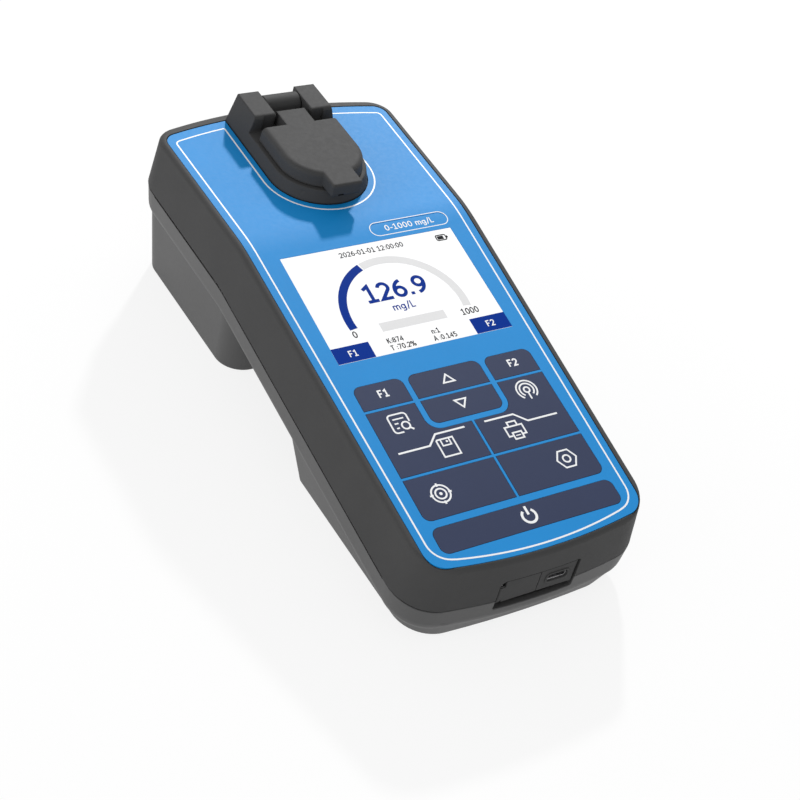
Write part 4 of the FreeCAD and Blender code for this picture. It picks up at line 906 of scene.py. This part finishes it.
# %% Draw the view and save symbols
STEP_LINE = 0.7
PAGE_R, ROW_LEFT, ROW_HALF = 1.3, -28.5, 0.28
GLASS_X, GLASS_V, GLASS_R = -24.7, -54.7, 1.5
HANDLE, SHUTTER = STROKE + 0.1, STROKE * 0.9
HUB_X, HUB_V, HUB_R = -13.6, -64.7, 0.45
view = symbol("key_view_save")
page = [(-26.6, -57.1)]
for x, v, start in ((-28.7, -55.8, 270), (-28.7, -50.8, 180), (-24.0, -50.8, 90)):
    page += curve(x, v, PAGE_R, PAGE_R, start, start - 90, 5)
view.stroke(page + [(-22.7, -53.4)], STROKE)
for v, row_right in ((-51.5, -24.2), (-53.3, -27.0), (-55.2, -27.4)):
    view.bar(ROW_LEFT, row_right, v - ROW_HALF, v + ROW_HALF)
view.stroke(ring(GLASS_X, GLASS_V, GLASS_R, GLASS_R), STROKE, closed=True, lift=LAYER)
view.stroke([(-23.6, -55.8), (-22.5, -56.9)], HANDLE, lift=2 * LAYER)
view_step = [(-33.0, -64.9), (-20.5, -64.9), (-16.4, -60.95), (-4.4, -60.95)]
view.stroke(view_step, STEP_LINE)
diskette = [(-17.4, -70.6), (-10.9, -70.6), (-10.9, -63.5), (-17.0, -63.5), (-17.4, -63.9)]
view.stroke(diskette, STROKE, closed=True)
shutter = [(-15.8, -63.6), (-15.8, -66.2), (-12.5, -66.2), (-12.5, -63.6)]
view.stroke(shutter, SHUTTER, lift=LAYER)
view.patch(ring(HUB_X, HUB_V, HUB_R, HUB_R, 12), lift=2 * LAYER)
print("view and save faces:", len(view.faces))

# %% [markdown]
# The right wide key mirrors it: an aerial in two rings of waves, open below, for sending, and a
# printer with its sheet. Each part of the printer is one stroke over an open or closed outline.

# %% Draw the send and print symbols
AERIAL_X, AERIAL_V, AERIAL_R = 26.7, -52.6, 1.15
MAST_TOP, MAST_FOOT = -53.8, -56.7
WAVE_RADII, WAVE_FROM, WAVE_TO = (4.05, 2.75), -52, 232
PRINT_LEFT, PRINT_RIGHT, PRINT_LOW, PRINT_TOP = 12.4, 14.4, -69.75, -69.35
send = symbol("key_send_print")
for radius in WAVE_RADII:
    send.stroke(curve(AERIAL_X, AERIAL_V, radius, radius, WAVE_FROM, WAVE_TO, 36), STROKE)
send.stroke(ring(AERIAL_X, AERIAL_V, AERIAL_R, AERIAL_R), STROKE, closed=True)
send.stroke([(AERIAL_X, MAST_TOP), (AERIAL_X, MAST_FOOT)], STROKE, lift=LAYER)
send_step = [(3.9, -60.95), (15.9, -60.95), (20.1, -64.9), (32.6, -64.9)]
send.stroke(send_step, STEP_LINE)
paper_feed = [(11.6, -65.2), (11.6, -63.6), (15.1, -63.6), (15.1, -65.2)]
send.stroke(paper_feed, STROKE)
printer = [(11.2, -69.4), (9.7, -69.4), (9.7, -65.5), (16.9, -65.5), (16.9, -69.4), (15.5, -69.4)]
send.stroke(printer, STROKE)
printed_sheet = [(11.6, -68.2), (15.2, -68.2), (15.2, -70.9), (11.6, -70.9)]
send.stroke(printed_sheet, STROKE, closed=True, lift=LAYER)
send.bar(PRINT_LEFT, PRINT_RIGHT, PRINT_LOW, PRINT_TOP, lift=2 * LAYER)
print("send and print faces:", len(send.faces))

# %% [markdown]
# The last three symbols are drawn about a centre: a target with four ticks for calibrating, a
# ring in a hexagon for the settings, and the usual open ring with a bar for power. Then every
# symbol becomes one object on its own key.

# %% Draw the round symbols and make all nine
TARGET_X, TARGET_V = -26.1, -83.5
TARGET_RADII, TARGET_DOT, TICK_ENDS, TICK = (3.45, 2.0), 0.6, (2.9, 4.2), 0.7
NUT_X, NUT_V, NUT_R, NUT_HOLE = 25.7, -83.4, 4.0, 1.45
POWER_X, POWER_V, POWER_R, POWER_LINE = -0.05, -100.4, 2.65, 0.95
POWER_FROM, POWER_TO, POWER_BAR = 128, 412, (-96.5, -99.9)
calibrate = symbol("key_calibrate")
for radius in TARGET_RADII:
    calibrate.stroke(ring(TARGET_X, TARGET_V, radius, radius, 32), STROKE, closed=True)
calibrate.patch(ring(TARGET_X, TARGET_V, TARGET_DOT, TARGET_DOT, 12))
for dx, dv in ((1, 0), (-1, 0), (0, 1), (0, -1)):
    tick = [(TARGET_X + dx * r, TARGET_V + dv * r) for r in TICK_ENDS]
    calibrate.stroke(tick, TICK, lift=LAYER)
settings = symbol("key_settings")
settings.stroke(ring(NUT_X, NUT_V, NUT_R, NUT_R, 6), STROKE, closed=True)
settings.stroke(ring(NUT_X, NUT_V, NUT_HOLE, NUT_HOLE), STROKE, closed=True)
power = symbol("key_power")
power.stroke(curve(POWER_X, POWER_V, POWER_R, POWER_R, POWER_FROM, POWER_TO, 30), POWER_LINE)
power.stroke([(POWER_X, v) for v in POWER_BAR], POWER_LINE)
for key, drawn in symbols.items():
    drawn.make("mark_" + key.removeprefix("key_"), white_ink, key, "key_film")
print("symbols on", len(symbols), "keys")

# %% [markdown]
# The display is lit from behind. A colour display shows a bright white page, so its page gets a
# little emission, and the inks on it a little of their own colour. The page is the face of the
# lens node itself, and the gauge, boxes and figures lie on it as prints of their own.

# %% Light the display page
PAGE_WHITE = (0.84, 0.845, 0.85)


def lit(name, colour, glow):
    """A smooth finish of the display, which glows a little in its own colour."""
    return finish(name, colour, 0.3, tone=0.012, grain=900.0, depth=0.0005, Specular_IOR_Level=0.05,
                  Emission_Color=tuple(colour) + (1,), Emission_Strength=glow)


wear("display_window", lit("display_page", PAGE_WHITE, 0.2))
deep_blue = lit("display_blue", (0.0, 0.026, 0.235), 0.12)
pale_grey = lit("display_grey", (0.72, 0.72, 0.725), 0.05)
figure_black = lit("display_figures", (0.012, 0.012, 0.014), 0.0)
box_white = lit("display_box_text", PAGE_WHITE, 0.1)
print("display inks:", [ink.name for ink in (deep_blue, pale_grey, figure_black, box_white)])

# %% [markdown]
# The gauge is an arc of a little more than half a circle, blue for its first two fifths and grey
# for the rest, with a narrow gap between. Two blue boxes for the function keys and a grey bar
# under the unit share its inks, so each ink makes one piece.

# %% Draw the gauge, the boxes and the bar
GAUGE_X, GAUGE_V, GAUGE_R, GAUGE_W = 0.1, -8.05, 24.1, 3.2
GAUGE_ENDS = (-8.3, 188.3)
GAUGE_SPLIT = 109.8
GAUGE_GAP = 0.7
BOX_IN, BOX_OUT, BOX_LOW, BOX_TOP = 21.3, 36.35, -24.85, -17.9
BAR_HALF, BAR_LOW, BAR_TOP = 13.6, -15.1, -11.3


def gauge_arc(sheet_of_ink, start, end, steps):
    """One stretch of the gauge, between two angles in degrees."""
    sheet_of_ink.stroke(curve(GAUGE_X, GAUGE_V, GAUGE_R, GAUGE_R, start, end, steps), GAUGE_W)


filled = ScreenPrint(LENS_FACE)
gauge_arc(filled, GAUGE_SPLIT + GAUGE_GAP, GAUGE_ENDS[1], steps=40)
for side in (-1, 1):
    filled.bar(side * BOX_IN, side * BOX_OUT, BOX_LOW, BOX_TOP)
filled.make("gauge_filled", deep_blue, "housing", "display_face")
empty = ScreenPrint(LENS_FACE)
gauge_arc(empty, GAUGE_ENDS[0], GAUGE_SPLIT - GAUGE_GAP, steps=60)
empty.bar(-BAR_HALF, BAR_HALF, BAR_LOW, BAR_TOP)
empty.make("gauge_empty", pale_grey, "housing", "display_face")
print("gauge runs from", GAUGE_ENDS[1], "to", GAUGE_ENDS[0], "degrees")

# %% [markdown]
# The figures on the page are an example reading: a number with its unit, the ends of the scale,
# a date line and four small raw values. All of them are plain numbers in the stroke alphabet,
# and a small battery sign with its charge stands at the end of the date line.

# %% Write the small figures
BATTERY_LEFT, BATTERY_RIGHT, BATTERY_LOW, BATTERY_TOP = 28.1, 32.3, 19.85, 22.35
BATTERY_ROUND, BATTERY_LINE = 0.5, 0.45
CHARGE_LEFT, CHARGE_RIGHT, CHARGE_INSET = 0.5, 1.1, 0.45
TIP_GAP, TIP_LENGTH, TIP_INSET = 0.3, 0.5, 0.75
figures = ScreenPrint(LENS_FACE)
letter(figures, "2026-01-01 12:00:00", 0.0, 20.35, height=2.35, weight=0.14)
letter(figures, "0", -24.4, -15.3, height=2.9, weight=0.15)
letter(figures, "1000", 23.8, -15.5, height=2.75, weight=0.15)
for words, x, v in (("K:874", -10.9, -20.6), ("T :70.2%", -9.1, -23.85),
                    ("n:1", 6.0, -20.6), ("A :0.145", 8.6, -23.85)):
    letter(figures, words, x, v, height=2.2, weight=0.155)
battery = rounded(BATTERY_LEFT, BATTERY_RIGHT, BATTERY_LOW, BATTERY_TOP, BATTERY_ROUND, steps=3)
figures.stroke(battery, BATTERY_LINE, closed=True)
figures.bar(BATTERY_LEFT + CHARGE_LEFT, BATTERY_RIGHT - CHARGE_RIGHT,
            BATTERY_LOW + CHARGE_INSET, BATTERY_TOP - CHARGE_INSET)
tip = BATTERY_RIGHT + TIP_GAP
figures.bar(tip, tip + TIP_LENGTH, BATTERY_LOW + TIP_INSET, BATTERY_TOP - TIP_INSET)
figures.make("page_figures", figure_black, "housing", "display_face")
print("small figures' faces:", len(figures.faces))

# %% [markdown]
# The reading is by far the tallest number on the page, in the gauge's blue. The two boxes are
# marked in white ink that lies on the blue ink, so it stands twice as high above the page.

# %% Write the reading and mark the boxes
reading = ScreenPrint(LENS_FACE)
letter(reading, "126.9", 0.35, -1.95, height=8.05, weight=0.175, wide=1.09)
letter(reading, "mg/L", -0.2, -7.35, height=3.15, weight=0.14, wide=1.14)
reading.make("reading", deep_blue, "housing", "display_face")
box_marks = ScreenPrint(LENS_FACE + INK)
for words, x in (("F1", -28.9), ("F2", 28.8)):
    letter(box_marks, words, x, -22.75, height=2.7, weight=0.16)
box_marks.make("box_marks", box_white, "housing", "display_face")
print("reading faces:", len(reading.faces), "and box marks:", len(box_marks.faces))

# %% [markdown]
# Last, the scene lists any node that was left plain.

# %% List what is left plain
plain = [n for n, o in nodes.items() if not o.data.materials or o.data.materials[0] is None]
print("plain nodes:", plain)
